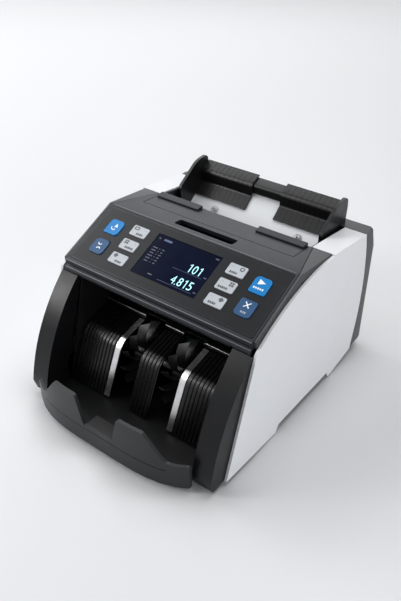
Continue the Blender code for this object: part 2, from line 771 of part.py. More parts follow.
def bow(half, shift, steps=14):
    """Plan view of the tray's front, from left to right, moved back by shift."""
    places = [half * (2 * i / steps - 1) for i in range(steps + 1)]
    return [(x, tray_front(x) + shift) for x in places]


def build_tray():
    """Bowed tray: a floor, and a front wall with two tabs and a notch between them."""
    half = COLUMN_INNER - GAP
    end = COLUMN_INNER + TRAY_END_REACH
    skyline = [(end, TRAY_LIFT), (end, RIM_Z), (RIM_X, RIM_Z), (TAB_OUTER_X, TAB_TOP_Z),
               (TAB_INNER_X, TAB_TOP_Z), (NOTCH_X, NOTCH_Z)]
    radii = [TRAY_FOOT_ROUND, TRAY_END_ROUND, TRAY_RIM_ROUND, TAB_OUTER_ROUND, TAB_INNER_ROUND, NOTCH_ROUND]
    face = rounded_loop(mirrored(skyline), radii + radii[::-1])
    tray = prism("stacker_tray", face, "y", TRAY_FRONT_Y - WALL, TRAY_FRONT_Y + 2 * TRAY_SWEEP, SLATE)
    band = bow(end + WALL, 0) + bow(end + WALL, TRAY_WALL)[::-1]
    combine(tray, prism("tray_band", band, "z", 0, 2 * TAB_TOP_Z), "INTERSECT")
    step = PAN_FRONT_Y - RUN
    floor = bow(half, TRAY_WALL / 2) + mirrored([(half, step), (SPAN_HALF, step), (SPAN_HALF, TRAY_REAR_Y)])
    fuse(tray, prism("tray_floor", floor, "z", TRAY_FLOOR_Z - TRAY_FLOOR, TRAY_FLOOR_Z))
    ledge_y = TRAY_FRONT_Y + TRAY_WALL / 2
    fuse(tray, box("tray_ledge", (-NOTCH_X, NOTCH_X), (ledge_y, ledge_y + LEDGE_DEPTH),
                   (TRAY_FLOOR_Z - TRAY_FLOOR / 2, NOTCH_Z - GAP)))
    groove = bow(RIM_X, -WALL) + bow(RIM_X, SEAM_DEPTH)[::-1]
    low = TRAY_GROOVE_Z - SEAM_WIDTH / 2
    cut(tray, prism("tray_groove", groove, "z", low, low + SEAM_WIDTH))


def guide_path():
    """Side view of the stack guides' face, from the exit down to the tray floor."""
    toe_z = TRAY_FLOOR_Z + GAP + GUIDE_WALL
    return rounded([(GUIDE_TOP_Y, GUIDE_TOP_Z), (GUIDE_KNEE_Y, GUIDE_KNEE_Z), (GUIDE_TOE_Y, toe_z)],
                   [GUIDE_KNEE_RADIUS], 6)


def build_stack_guides():
    """Ribbed guides behind the notes, with steel strips beside the wheel slots."""
    path = guide_path()[::-1]
    slot_inner = WHEEL_X - WHEEL_SLOT / 2
    slot_outer = WHEEL_X + WHEEL_SLOT / 2
    ribs = (RIB_PITCH, RIB_WIDTH, RIB_HEIGHT, GUIDE_WALL)
    middle = comb(-slot_inner, slot_inner, -slot_inner, slot_inner, *ribs)
    piece("middle_stack_guide", swept(path, middle), BLACK)
    strip_end = slot_outer + GAP + STRIP_WIDTH
    for side, hand in ((-1, "left"), (1, "right")):
        low, high = side_range(side, slot_outer, SPAN_HALF)
        first, last = side_range(side, strip_end + GAP, SPAN_HALF)
        piece(f"{hand}_stack_guide", swept(path, comb(low, high, first, last, *ribs)), BLACK)
        left, right = side_range(side, slot_outer + GAP, strip_end)
        ribbon = [(left, GAP), (right, GAP), (right, GAP + STRIP_THICKNESS), (left, GAP + STRIP_THICKNESS)]
        piece(f"{hand}_guide_strip", swept(path, ribbon), STEEL)


def wheel_outline():
    """Hub with swept, pointed fins, as one closed outline about the shaft."""
    outline = []
    pitch = 2 * math.pi / FIN_COUNT
    for i in range(FIN_COUNT):
        base = i * pitch
        back = [fin_point(base, share, -FIN_THICKNESS / 2) for share in (0.0, 0.35, 0.7)]
        tip = [fin_point(base, 1.0, 0.0)]
        face = [fin_point(base, share, FIN_THICKNESS / 2) for share in (0.7, 0.35, 0.0)]
        outline += back + tip + face
    return outline


def fin_point(base, share, offset):
    """Point on a fin: share of the way out, offset across it; the fins sweep as they rise."""
    radius = WHEEL_HUB_RADIUS + share * (WHEEL_RADIUS - WHEEL_HUB_RADIUS)
    turn = base - FIN_SWEEP * share + offset * (1 - 0.6 * share) / radius
    return (WHEEL_Y + radius * math.cos(turn), WHEEL_Z + radius * math.sin(turn))


def build_stacker():
    """Shaft with its pulley, and two finned wheels on it."""
    turned("stacker_shaft", shaft_profile(STACKER_SHAFT_RADIUS, STACKER_PULLEY), STACKER, STEEL)
    for side, hand in ((-1, "left"), (1, "right")):
        low = side * WHEEL_X - WHEEL_WIDTH / 2
        wheel = prism(f"{hand}_stacker_wheel", wheel_outline(), "x", low, low + WHEEL_WIDTH, LIGHT,
                      (0, *STACKER))
        tips = [(low - GAP, WHEEL_RADIUS - FIN_SLANT), (low + WHEEL_WIDTH + GAP, WHEEL_RADIUS + GAP)]
        combine(wheel, turned(f"{hand}_fin_tips", tips, STACKER, None), "INTERSECT")
        cut(wheel, bore(f"{hand}_wheel_bore", STACKER, STACKER_SHAFT_RADIUS + GAP, -HALF, HALF))


# Note path and drive

def shaft_profile(radius, pulley, tyres=(), tyre_radius=0.0):
    """Turned profile of a shaft: pulley at its left end, then its rubber tyres."""
    left = -PULLEY_OUTER
    inner = left + PULLEY_WIDTH
    rim = pulley + PULLEY_FLANGE
    profile = [(left - PULLEY_FLANGE, rim), (left - GAP, rim), (left - GAP, pulley), (inner + GAP, pulley),
               (inner + GAP, rim), (inner + PULLEY_FLANGE, rim), (inner + PULLEY_FLANGE, radius)]
    return profile + tyre_profile(radius, tyres, tyre_radius) + [(FRAME_OUTER + WALL, radius)]


def tyre_profile(radius, tyres, tyre_radius):
    """Turned profile of the rubber tyres on a shaft."""
    profile = []
    for x in tyres:
        low, high = x - TYRE_WIDTH / 2, x + TYRE_WIDTH / 2
        profile += [(low, radius), (low, tyre_radius), (high, tyre_radius), (high, radius)]
    return profile


def tyre_places():
    """Middles of the rubber tyres across the path."""
    return [-3 * TYRE_X + TYRE_WIDTH / 2, -TYRE_X, TYRE_X, 3 * TYRE_X - TYRE_WIDTH / 2]


def tyre_slot(name, x, centre, radius, clearance):
    """Round cutter that lets one tyre through a guide."""
    half = TYRE_WIDTH / 2 + clearance
    return bore(name, centre, radius + clearance, x - half, x + half)


def build_lower_guide():
    """Floor of the note path, with slots for the tyres and the stacker wheels."""
    under = -PATH_WALL
    outline = rounded([(PATH_FRONT_Y - PATH_WALL, PATH_FRONT_Z - PATH_LIP), path_point(-PATH_WALL, 0),
                       path_point(PATH_LENGTH, 0)], [PATH_WALL], 4)
    outline += [path_point(PATH_LENGTH, under), path_point(PATH_WALL / 2, under),
                (PATH_FRONT_Y, PATH_FRONT_Z - PATH_LIP)]
    guide = prism("lower_guide", outline, "x", -SPAN_HALF, SPAN_HALF, BLACK)
    for i, x in enumerate(tyre_places()):
        cut(guide, tyre_slot(f"transport_slot_{i}", x, TRANSPORT, TRANSPORT_RADIUS, 2 * RUN))
    for side in (-1, 1):
        low = side * WHEEL_X - WHEEL_SLOT / 2
        cut(guide, bore(f"wheel_slot_{side}", STACKER, WHEEL_RADIUS + 2 * RUN, low, low + WHEEL_SLOT))


def build_rollers():
    """Transport and feed rollers, the motor, and the belt that joins their pulleys."""
    tyres = tyre_places()
    shaft = TRANSPORT_SHAFT_RADIUS
    transport = shaft_profile(shaft, TRANSPORT_PULLEY, tyres, TRANSPORT_RADIUS)
    turned("transport_roller", transport, TRANSPORT, RUBBER)
    feed = shaft_profile(shaft, FEED_PULLEY, tyres[1:3], FEED_ROLLER_RADIUS)
    turned("feed_roller", feed, FEED_ROLLER, RUBBER)
    left = -FRAME_INNER + GAP
    right = left + MOTOR_LENGTH
    end = right + MOTOR_CHAMFER
    can = [(left - FRAME_THICKNESS, MOTOR_BOSS), (left, MOTOR_BOSS), (left, MOTOR_RADIUS),
           (right, MOTOR_RADIUS), (end, MOTOR_RADIUS - MOTOR_CHAMFER), (end, MOTOR_BOSS / 2)]
    turned("drive_motor", can, MOTOR, STEEL)
    stub = left - FRAME_THICKNESS - GAP
    wheel = shaft_profile(MOTOR_SHAFT, MOTOR_PULLEY)[:-1]
    turned("motor_pulley", wheel + [(stub, MOTOR_SHAFT)], MOTOR, STEEL)
    build_belt()


def build_belt():
    """Flat belt round the four pulleys."""
    pulleys = [(STACKER, STACKER_PULLEY), (TRANSPORT, TRANSPORT_PULLEY), (FEED_ROLLER, FEED_PULLEY),
               (MOTOR, MOTOR_PULLEY)]
    low, high = -PULLEY_OUTER + GAP, -PULLEY_OUTER + PULLEY_WIDTH - GAP
    belt = prism("drive_belt", belt_loop(pulleys, GAP + BELT_THICKNESS), "x", low, high, RUBBER)
    cut(belt, prism("belt_inside", belt_loop(pulleys, GAP), "x", -HALF, HALF))


def belt_loop(pulleys, out):
    """Taut loop round circles: the convex outline of their points."""
    points = []
    for centre, radius in pulleys:
        points += circle(centre, radius + out, BELT_SIDES)
    points.sort()
    lower = hull_half(points)
    upper = hull_half(points[::-1])
    return lower[:-1] + upper[:-1]


def hull_half(points):
    """One side of a convex outline."""
    kept = []
    for point in points:
        while len(kept) > 1 and turn_of(kept[-2], kept[-1], point) <= 1e-12:
            kept.pop()
        kept.append(point)
    return kept


def turn_of(a, b, c):
    """Twice the signed area of three points."""
    return (b[0] - a[0]) * (c[1] - a[1]) - (b[1] - a[1]) * (c[0] - a[0])


# Tilting unit

def cover_plan(inset):
    """Plan view of the tilting unit's cover, drawn in by inset."""
    seam = [(x - RUN - inset, y) for x, y in wing_edge()]
    front = HINGE[0] - 2 * NOSE_RADIUS
    right = [(seam[0][0], front), *seam, (seam[-1][0], TOP_REAR_Y + WALL)]
    return mirrored(right)


def build_cover():
    """Shell with a grooved front lip on the hinge rod, a panel recess and a finger slot."""
    lip = [panel_point(0, 0), panel_point(0, -LIP_EDGE), panel_point(LIP_GROOVE, -LIP_EDGE)]
    lip += arc(HINGE, NOSE_RADIUS, math.radians(95), math.radians(275), 7)
    lip.append((HINGE[0] + NOSE_DEPTH, HINGE[1] - NOSE_RADIUS / 2))
    rear = TOP_LENGTH - RUN
    under = -COVER_DEPTH
    outline = [crest_point(0), *lip, panel_point(LIP_HEEL, under), crest_point(under),
               top_point(rear, under), top_point(rear, 0)]
    cover = prism("door_cover", outline, "x", -HALF, HALF, SLATE)
    combine(cover, prism("cover_plan", cover_plan(0), "z", 0, 2 * PANEL_FOOT_Z), "INTERSECT")
    skin = -COVER_SKIN
    inside = [panel_point(NOSE_DEPTH, skin), crest_point(skin), top_point(rear - WALL, skin),
              top_point(rear - WALL, -2 * COVER_DEPTH), crest_point(-2 * COVER_DEPTH),
              panel_point(NOSE_DEPTH, -2 * COVER_DEPTH)]
    hollow = prism("cover_hollow", inside, "x", -HALF, HALF)
    combine(hollow, prism("cover_hollow_plan", cover_plan(WALL), "z", 0, 2 * PANEL_FOOT_Z), "INTERSECT")
    recess = -PLATE_THICKNESS - GAP
    cut(cover, hollow, tilted_prism("panel_recess", panel_outline(GAP), recess, PLATE_THICKNESS))
    cut(cover, bore("rod_bore", HINGE, HINGE_ROD_RADIUS + SHAFT_PLAY, -HALF, HALF))
    cut(cover, *ear_notches(), *panel_windows("cover", 2 * GAP, square=True), *top_cuts())


def ear_notches():
    """Cutters for the frame ears, swept through the unit's whole tilt."""
    first, last = math.radians(-176), math.radians(-15)
    keyhole = arc(HINGE, HINGE_EAR_RADIUS + SHAFT_PLAY, last, first + 2 * math.pi, 14)
    keyhole += arc(HINGE, 3 * NOSE_RADIUS, first, last, 10)
    inner, outer = FRAME_INNER - RUN, FRAME_OUTER + RUN
    return [prism(f"ear_notch_{side}", keyhole, "x", *side_range(side, inner, outer)) for side in (-1, 1)]


def top_cuts():
    """Finger slot and the seam of the plate behind it."""
    y0 = top_point(FINGER_SLOT_START, 0)[0]
    z = top_point(FINGER_SLOT_START, 0)[1]
    slot = rounded_loop(rectangle(0, y0 + FINGER_SLOT_DEPTH / 2, FINGER_SLOT_WIDTH, FINGER_SLOT_DEPTH),
                        [FINGER_SLOT_DEPTH / 4] * 4)
    tools = [prism("finger_slot", slot, "z", z - 3 * COVER_SKIN, z + COVER_SKIN)]
    half = SEAM_PLATE_WIDTH / 2
    start = SEAM_PLATE_START
    middle = start + SEAM_WIDTH / 2
    deep = -SEAM_DEPTH - GAP
    floor = [top_point(middle, deep), top_point(TOP_LENGTH + WALL, deep),
             top_point(TOP_LENGTH + WALL, WALL), top_point(middle, WALL)]
    front = [top_point(start, -SEAM_DEPTH), top_point(start + SEAM_WIDTH, -SEAM_DEPTH),
             top_point(start + SEAM_WIDTH, WALL), top_point(start, WALL)]
    end = half - SEAM_WIDTH / 2
    tools.append(prism("seam_front", front, "x", -end, end))
    for side in (-1, 1):
        tools.append(prism(f"seam_{side}", floor, "x", *side_range(side, half - SEAM_WIDTH, half)))
    return tools


def panel_outline(grow):
    """Control panel's outline on the slope."""
    half = COVER_HALF - COVER_RIM - GAP + grow
    low = LIP_RIM - grow
    high = PANEL_LENGTH - COVER_RIM + grow
    corners = [(-half, low), (half, low), (half, high), (-half, high)]
    return rounded_loop(corners, [KEY_CORNER] * 4)


def key_outline(spec, grow):
    """Outline of one key, or of its window when it is grown."""
    _, x, s, width, height, radii, _ = spec
    return rounded_loop(rectangle(x, s, width + 2 * grow, height + 2 * grow), radii)


def list_keys():
    """Name, place, size, corner radii and finish of each key."""
    small, big = KEY_CORNER, KEY_BIG_CORNER
    keys = []
    for side, hand in ((-1, "left"), (1, "right")):
        for row, level in (("lower", -1), ("middle", 0), ("upper", 1)):
            keys.append((f"{hand}_{row}_key", side * LIGHT_KEY_X, LIGHT_KEY_S + level * LIGHT_KEY_PITCH,
                         LIGHT_KEY_WIDTH, LIGHT_KEY_HEIGHT, (small,) * 4, LIGHT))
        for row, level in (("lower", -1), ("upper", 1)):
            radii = (big, big, small, small) if level < 0 else (small, small, big, big)
            middle = BLUE_KEY_S + level * BLUE_KEY_PITCH / 2
            keys.append((f"{hand}_blue_{row}_key", side * BLUE_KEY_X, middle,
                         BLUE_KEY_WIDTH, BLUE_KEY_HEIGHT, radii, BLUE))
    return keys


def screen_outline(grow):
    """Outline of the screen, or of its window when it is grown."""
    return rectangle(0, SCREEN_S, SCREEN_WIDTH + 2 * grow, SCREEN_HEIGHT + 2 * grow)


def panel_windows(label, grow, square=False):
    """Cutters for the screen and the keys, with square corners where the panel hides them."""
    reach = 2 * COVER_SKIN
    tools = [tilted_prism(f"{label}_screen_window", screen_outline(grow), -reach, reach)]
    for spec in list_keys():
        outline = key_outline(spec, grow)
        if square:
            outline = rectangle(spec[1], spec[2], spec[3] + 2 * grow, spec[4] + 2 * grow)
        tools.append(tilted_prism(f"{label}_{spec[0]}_window", outline, -reach, reach))
    return tools


def build_panel():
    """Panel plate, screen, keys and the board behind them."""
    plate = tilted_prism("control_panel", panel_outline(0), -PLATE_THICKNESS, 0, PANEL)
    cut(plate, *panel_windows("panel", GAP))
    face = -SCREEN_RECESS
    tilted_prism("display_window", screen_outline(0), face - SCREEN_THICKNESS, face, GLASS)
    for spec in list_keys():
        outline = key_outline(spec, 0)
        tilted_prism(spec[0], outline, -KEY_BELOW, KEY_RISE, spec[-1], (spec[1], spec[2]), KEY_EDGE)
    width = 2 * (SPAN_HALF - WALL - GAP)
    board = rectangle(0, BLUE_KEY_S, width, BLUE_KEY_PITCH + BLUE_KEY_HEIGHT)
    top = -COVER_SKIN - GAP
    tilted_prism("display_board", board, top - BOARD_THICKNESS, top, GREEN)


def path_block(first, last, low, high):
    """Side view of a block along the note path."""
    return [path_point(first, low), path_point(last, low), path_point(last, high), path_point(first, high)]


def build_upper_guide():
    """Upper half of the note path: an open box under the cover, with a hood over the pocket."""
    top = -COVER_SKIN - GAP
    floor = PATH_GAP
    rear = TOP_LENGTH - RUN - WALL - GAP
    mouth = path_point(PATH_LENGTH - 2 * PATH_GAP, floor)
    outline = rounded([panel_point(NOSE_DEPTH + GAP, -COVER_DEPTH), path_point(HOOD_FRONT_S, floor), mouth,
                       top_point(rear, top - COVER_DEPTH)], (3 * PATH_WALL, PATH_WALL))
    outline += [top_point(rear, top), crest_point(top), panel_point(NOSE_DEPTH + GAP, top)]
    guide = prism("upper_guide", outline, "x", -SPAN_HALF, SPAN_HALF, BLACK)
    wall = PATH_WALL
    front = NOSE_DEPTH + 2 * wall
    inside = [panel_point(front, -COVER_DEPTH), path_point(HOOD_FRONT_S + 2 * wall, floor + wall),
              path_point(PATH_LENGTH - 2 * PATH_GAP - wall, floor + wall),
              top_point(rear - wall, top - COVER_DEPTH), top_point(rear - wall, WALL), crest_point(WALL),
              panel_point(front, WALL)]
    cut(guide, prism("upper_guide_inside", inside, "x", wall - SPAN_HALF, SPAN_HALF - wall))
    sensor_half = SPAN_HALF - SENSOR_MARGIN
    window = path_block(SENSOR_S - GAP, SENSOR_S + SENSOR_DEPTH + GAP, 0, 2 * PATH_GAP)
    cut(guide, prism("sensor_window", window, "x", -sensor_half - GAP, sensor_half + GAP))
    for i, x in enumerate(tyre_places()):
        cut(guide, tyre_slot(f"pinch_slot_{i}", x, PINCH, PINCH_RADIUS, 2 * RUN))
    cut(guide, bore("pinch_axle_hole", PINCH, PINCH_SHAFT_RADIUS + SHAFT_PLAY, -HALF, HALF))
    sensor = path_block(SENSOR_S, SENSOR_S + SENSOR_DEPTH, floor, floor + SENSOR_HEIGHT)
    prism("image_sensor", sensor, "x", -sensor_half, sensor_half, DARK)


def build_pinch_roller():
    """Idle roller that presses the notes on the transport roller."""
    radius = PINCH_SHAFT_RADIUS
    profile = tyre_profile(radius, tyre_places(), PINCH_RADIUS)
    turned("pinch_roller", [(-SPAN_HALF, radius), *profile, (SPAN_HALF, radius)], PINCH, RUBBER)


def build_flap(side, hand):
    """Raised slab over the feed gap."""
    rear = TOP_LENGTH - RUN
    front = rear - FLAP_LENGTH
    corners = [top_point(front, GAP), top_point(front, FLAP_HEIGHT / 2), top_point(rear - GAP, FLAP_HEIGHT),
               top_point(rear, GAP)]
    outline = rounded(corners, (FLAP_FRONT_ROUND, FLAP_REAR_ROUND), 3)
    span = side_range(side, FLAP_INNER_X, FLAP_INNER_X + FLAP_WIDTH)
    prism(f"{hand}_throat_flap", outline, "x", *span, SLATE)


# Hopper

def build_hopper():
    """Feed plate with its screws, the rear bar and the two sliding note guides."""
    outline = [feed_point(FEED_LOW, 0), feed_point(FEED_HIGH, 0), feed_point(FEED_HIGH, -FEED_PLATE),
               feed_point(FEED_LOW, -FEED_PLATE)]
    plate = prism("feed_plate", outline, "x", -SPAN_HALF, SPAN_HALF, WHITE)
    for i, x in enumerate(tyre_places()[1:3]):
        cut(plate, tyre_slot(f"feed_slot_{i}", x, FEED_ROLLER, FEED_ROLLER_RADIUS, 2 * RUN))
    for side, hand in ((-1, "left"), (1, "right")):
        build_feed_screw(plate, side, hand)
        build_note_guide(side, hand)
    bar = [(BAR_FRONT_Y, BAR_BOTTOM_Z), (BAR_FRONT_Y, BAR_NOSE_Z), (BAR_REAR_Y, BAR_TOP_Z),
           (BAR_REAR_Y, REAR_TOP_Z + GAP), (BAR_SEAT_Y, REAR_TOP_Z + GAP), (BAR_SEAT_Y, BAR_BOTTOM_Z)]
    edge = BAR_EDGE_ROUND
    radii = (edge, BAR_NOSE_ROUND, edge, edge, edge, edge)
    prism("hopper_bar", rounded_loop(bar, radii), "x", -BAR_HALF_WIDTH, BAR_HALF_WIDTH, SLATE)


def build_feed_screw(plate, side, hand):
    """Screw with a washer, square to the feed plate."""
    shape = bmesh.new()
    under = FEED_PLATE + SCREW_LENGTH
    washer = GAP + WASHER_RISE
    profile = [(0, -under), (SCREW_SHANK, -under), (SCREW_SHANK, GAP), (WASHER_RADIUS, GAP),
               (WASHER_RADIUS, washer), (SCREW_HEAD, washer), (SCREW_HEAD, washer + SCREW_RISE * 0.6),
               (SCREW_HEAD * 0.6, washer + SCREW_RISE), (0, washer + SCREW_RISE)]
    verts = [shape.verts.new((radius, 0, z)) for radius, z in profile]
    edges = [shape.edges.new(pair) for pair in zip(verts, verts[1:])]
    bmesh.ops.spin(shape, geom=verts + edges, cent=(0, 0, 0), axis=(0, 0, 1), angle=2 * math.pi,
                   steps=SMALL_SIDES, use_merge=True)
    bmesh.ops.remove_doubles(shape, verts=shape.verts, dist=1e-7)
    seat = Matrix.Translation((side * SCREW_X, FEED_Y, FEED_Z)) @ Matrix.Rotation(FEED_TILT, 4, "X")
    bmesh.ops.transform(shape, matrix=seat, verts=shape.verts)
    piece(f"feed_screw_{hand}", shape, STEEL)
    hole = prism_shape(circle((0, 0), SCREW_SHANK + GAP, SMALL_SIDES), "z", -2 * FEED_PLATE, FEED_PLATE)
    bmesh.ops.transform(hole, matrix=seat, verts=hole.verts)
    cut(plate, piece(f"{hand}_screw_hole", hole, None))


def build_note_guide(side, hand):
    """Ribbed guide that hooks over the bar, with a cheek at its outer end."""
    skin = RUN + GUIDE_SKIN
    nose = (BAR_FRONT_Y - skin, BAR_NOSE_Z + skin * 0.6)
    slope = math.atan2(BAR_TOP_Z - BAR_NOSE_Z, BAR_REAR_Y - BAR_FRONT_Y)
    back = (BAR_REAR_Y, BAR_TOP_Z + skin / math.cos(slope))
    knee = (BAR_FRONT_Y - skin, feed_height(BAR_FRONT_Y - skin, skin))
    path = rounded([feed_point(GUIDE_LOW, skin), knee, nose, back], (GUIDE_BEND_ROUND, GUIDE_NOSE_ROUND), 2)
    low, high = side_range(side, GUIDE_INNER_X, CHEEK_INNER + CHEEK_THICKNESS / 2)
    first, last = side_range(side, GUIDE_INNER_X, CHEEK_INNER)
    section = comb(low, high, first, last, NOTE_RIB_PITCH, NOTE_RIB_WIDTH, NOTE_RIB_HEIGHT, GUIDE_SKIN)
    guide = piece(f"{hand}_note_guide", swept(path, section), BLACK)
    middle = (CHEEK_TOP_Y, CHEEK_TOP_Z - CHEEK_TOP_RADIUS)
    crown = arc(middle, CHEEK_TOP_RADIUS, math.pi / 2, math.radians(-20), 6)
    front = [(CHEEK_FRONT_Y, CHEEK_FRONT_Z), (CHEEK_SHOULDER_Y, CHEEK_SHOULDER_Z), crown[0]]
    cheek = rounded(front, [CHEEK_SHOULDER_ROUND])
    cheek += crown[1:] + [(crown[-1][0], BAR_BOTTOM_Z), (BAR_FRONT_Y, BAR_BOTTOM_Z)]
    cheek += [(y, feed_height(y, RUN)) for y in (BAR_FRONT_Y, CHEEK_FRONT_Y)]
    plate = prism(f"{hand}_cheek", cheek, "x", *side_range(side, CHEEK_INNER, CHEEK_OUTER))
    bar_space = [(BAR_FRONT_Y - RUN, 0), (BAR_FRONT_Y - RUN, BAR_NOSE_Z + RUN),
                 (BAR_REAR_Y, BAR_TOP_Z + RUN), (REAR_Y, BAR_TOP_Z + RUN), (REAR_Y, 0)]
    cut(plate, prism(f"{hand}_bar_space", bar_space, "x", -HALF, HALF))
    fuse(guide, plate)


def feed_height(y, n):
    """Height of the feed plate's face at one depth, n above it."""
    return FEED_Z + (y - FEED_Y) * math.tan(FEED_TILT) + n / math.cos(FEED_TILT)


# Electronics

def build_electronics():
    """Main board on the pan's posts and the power supply beside it."""
    low = PAN_TOP_Z + PCB_RISE + GAP
    top = low + BOARD_THICKNESS
    board = prism("main_board", rectangle(PCB_X, PCB_Y, PCB_WIDTH, PCB_LENGTH), "z", low, top, GREEN)
    chips = [(-0.25, 0.2, 0.30, 0.30), (0.2, 0.25, 0.24, 0.18),
             (0.25, -0.28, 0.26, 0.2), (-0.22, -0.3, 0.34, 0.12)]
    for i, (x, y, width, length) in enumerate(chips):
        middle = (PCB_X + x * PCB_WIDTH, PCB_Y + y * PCB_LENGTH)
        outline = rectangle(*middle, width * PCB_WIDTH, length * PCB_LENGTH)
        fuse(board, prism(f"chip_{i}", outline, "z", low + BOARD_THICKNESS / 2, low + CHIP_HEIGHT))
    corners = rectangle(SUPPLY_X, SUPPLY_Y, SUPPLY_WIDTH, SUPPLY_LENGTH)
    case = rounded_loop(corners, [SUPPLY_ROUND] * 4, 2)
    prism("power_supply", case, "z", PAN_TOP_Z + GAP, PAN_TOP_Z + SUPPLY_HEIGHT, STEEL)


def build_inlet():
    """Mains inlet in the rear cover, with the rocker switch beside the socket."""
    outer = REAR_Y + GAP + FLANGE_THICKNESS
    flange = rounded_loop(rectangle(INLET_X, INLET_Z, INLET_WIDTH, INLET_HEIGHT), [FLANGE_ROUND] * 4)
    inlet = prism("power_inlet", flange, "y", REAR_Y + GAP, outer, BLACK)
    body = rectangle(INLET_X, INLET_Z, INLET_WIDTH - 2 * FLANGE_RIM, INLET_HEIGHT - 2 * FLANGE_RIM)
    fuse(inlet, prism("inlet_body", body, "y", outer - INLET_DEPTH, outer - FLANGE_THICKNESS / 2))
    socket = rounded_loop(rectangle(INLET_X + SOCKET_X, INLET_Z, SOCKET_WIDTH, SOCKET_HEIGHT),
                          [SOCKET_LOW_ROUND, SOCKET_LOW_ROUND, SOCKET_ROUND, SOCKET_ROUND])
    cut(inlet, prism("socket", socket, "y", outer - SOCKET_DEPTH, outer + WALL))
    window = rectangle(INLET_X + SWITCH_X, INLET_Z, SWITCH_WIDTH + 2 * RUN, SWITCH_HEIGHT + 4 * RUN)
    cut(inlet, prism("switch_window", window, "y", outer - SOCKET_DEPTH, outer + WALL))
    build_switch(outer)


def build_switch(face):
    """Rocker with a shallow V face, tipped to its off side at rest."""
    axis = (INLET_X + SWITCH_X, face - SWITCH_AXIS_DEPTH, INLET_Z)
    half = SWITCH_HEIGHT / 2 - 2 * RUN
    front = SWITCH_AXIS_DEPTH - GAP
    dip = front - half * math.tan(SWITCH_THROW)
    outline = [(front, -half), (dip, 0), (front, half), (0, half), (-half, 0), (0, -half)]
    shape = prism_shape(outline, "x", -SWITCH_WIDTH / 2, SWITCH_WIDTH / 2)
    turn = Matrix.Translation(axis) @ Matrix.Rotation(-SWITCH_THROW, 4, "X")
    bmesh.ops.transform(shape, matrix=turn, verts=shape.verts)
    piece("power_switch", shape, BLACK, axis)


def build_hinge_rod():
    """Rod through the lip of the tilting unit, held in the frame ears."""
    end = COVER_HALF - WALL
    turned("hinge_rod", [(-end, HINGE_ROD_RADIUS), (end, HINGE_ROD_RADIUS)], HINGE, STEEL)


def main():
    """Clear the scene and build every piece."""
    for thing in list(bpy.data.objects):
        bpy.data.objects.remove(thing, do_unlink=True)
    build_base()
    for side, hand in ((-1, "left"), (1, "right")):
        build_side_panel(side, hand)
        build_column(side, hand)
        build_wing(side, hand)
        build_frame(side, hand)
        build_flap(side, hand)
    build_rear_cover()
    build_tray()
    build_stack_guides()
    build_stacker()
    build_lower_guide()
    build_rollers()
    build_cover()
    build_panel()
    build_upper_guide()
    build_pinch_roller()
    build_hopper()
    build_electronics()
    build_inlet()
    build_hinge_rod()


main()
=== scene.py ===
"""Looks of the desktop counting machine: finishes, fine edges, keys, screen, screws and studio.

Metres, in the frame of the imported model: +X to the operator's right, +Y to the rear, +Z up.
"""
import json
import logging
import math
from dataclasses import dataclass
from enum import Enum
from typing import Callable, Iterable

import bmesh
import bpy
from mathutils import Matrix, Vector


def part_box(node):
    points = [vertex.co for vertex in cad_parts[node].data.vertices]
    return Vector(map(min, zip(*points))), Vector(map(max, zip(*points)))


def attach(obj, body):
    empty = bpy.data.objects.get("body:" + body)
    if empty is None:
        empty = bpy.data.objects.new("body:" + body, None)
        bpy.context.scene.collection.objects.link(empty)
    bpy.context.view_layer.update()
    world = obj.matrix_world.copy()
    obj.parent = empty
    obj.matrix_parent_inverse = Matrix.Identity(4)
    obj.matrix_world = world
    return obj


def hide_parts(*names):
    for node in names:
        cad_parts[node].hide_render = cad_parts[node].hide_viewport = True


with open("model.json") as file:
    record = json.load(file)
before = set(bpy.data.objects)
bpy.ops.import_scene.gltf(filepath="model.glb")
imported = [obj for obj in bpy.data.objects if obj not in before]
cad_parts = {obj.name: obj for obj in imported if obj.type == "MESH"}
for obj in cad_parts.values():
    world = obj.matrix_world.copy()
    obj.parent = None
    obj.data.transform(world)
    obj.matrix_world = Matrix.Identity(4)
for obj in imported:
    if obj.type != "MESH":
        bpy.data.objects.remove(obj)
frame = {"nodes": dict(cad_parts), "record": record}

LOG = logging.getLogger("counter")
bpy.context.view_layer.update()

Shape = bmesh.types.BMesh
Tree = bpy.types.NodeTree
Socket = bpy.types.NodeSocket
Pair = tuple[float, float]
Point = tuple[float, float, float]

SIDES: tuple[tuple[int, str], ...] = ((-1, "left"), (1, "right"))
CHASSIS: str = "chassis"
UPPER: str = "upper_unit"
# Name of the face attribute that marks where painted shade darkens a finish.
PAINTED_SHADE_ATTRIBUTE: str = "painted_inner_shade"
WELD: float = 1e-6
FLAT: float = math.radians(0.5)
SKIN: float = 0.00006
FINE: int = 3
CORNER: float = 32.0
WIDE_CORNER: float = 50.0
ROUND: int = 40


class Grain(Enum):
    """Surface patterns that a finish can have."""

    MOULDED = "fine eroded texture of a moulded shell"
    SATIN = "smooth plastic with a faint orange peel"
    BRUSHED = "long fine scratches along the machine's width"
    RUBBER = "matt rubber with a little dust"
    GLOSS = "polished face with faint smears"
    BOARD = "lacquered board with tracks"


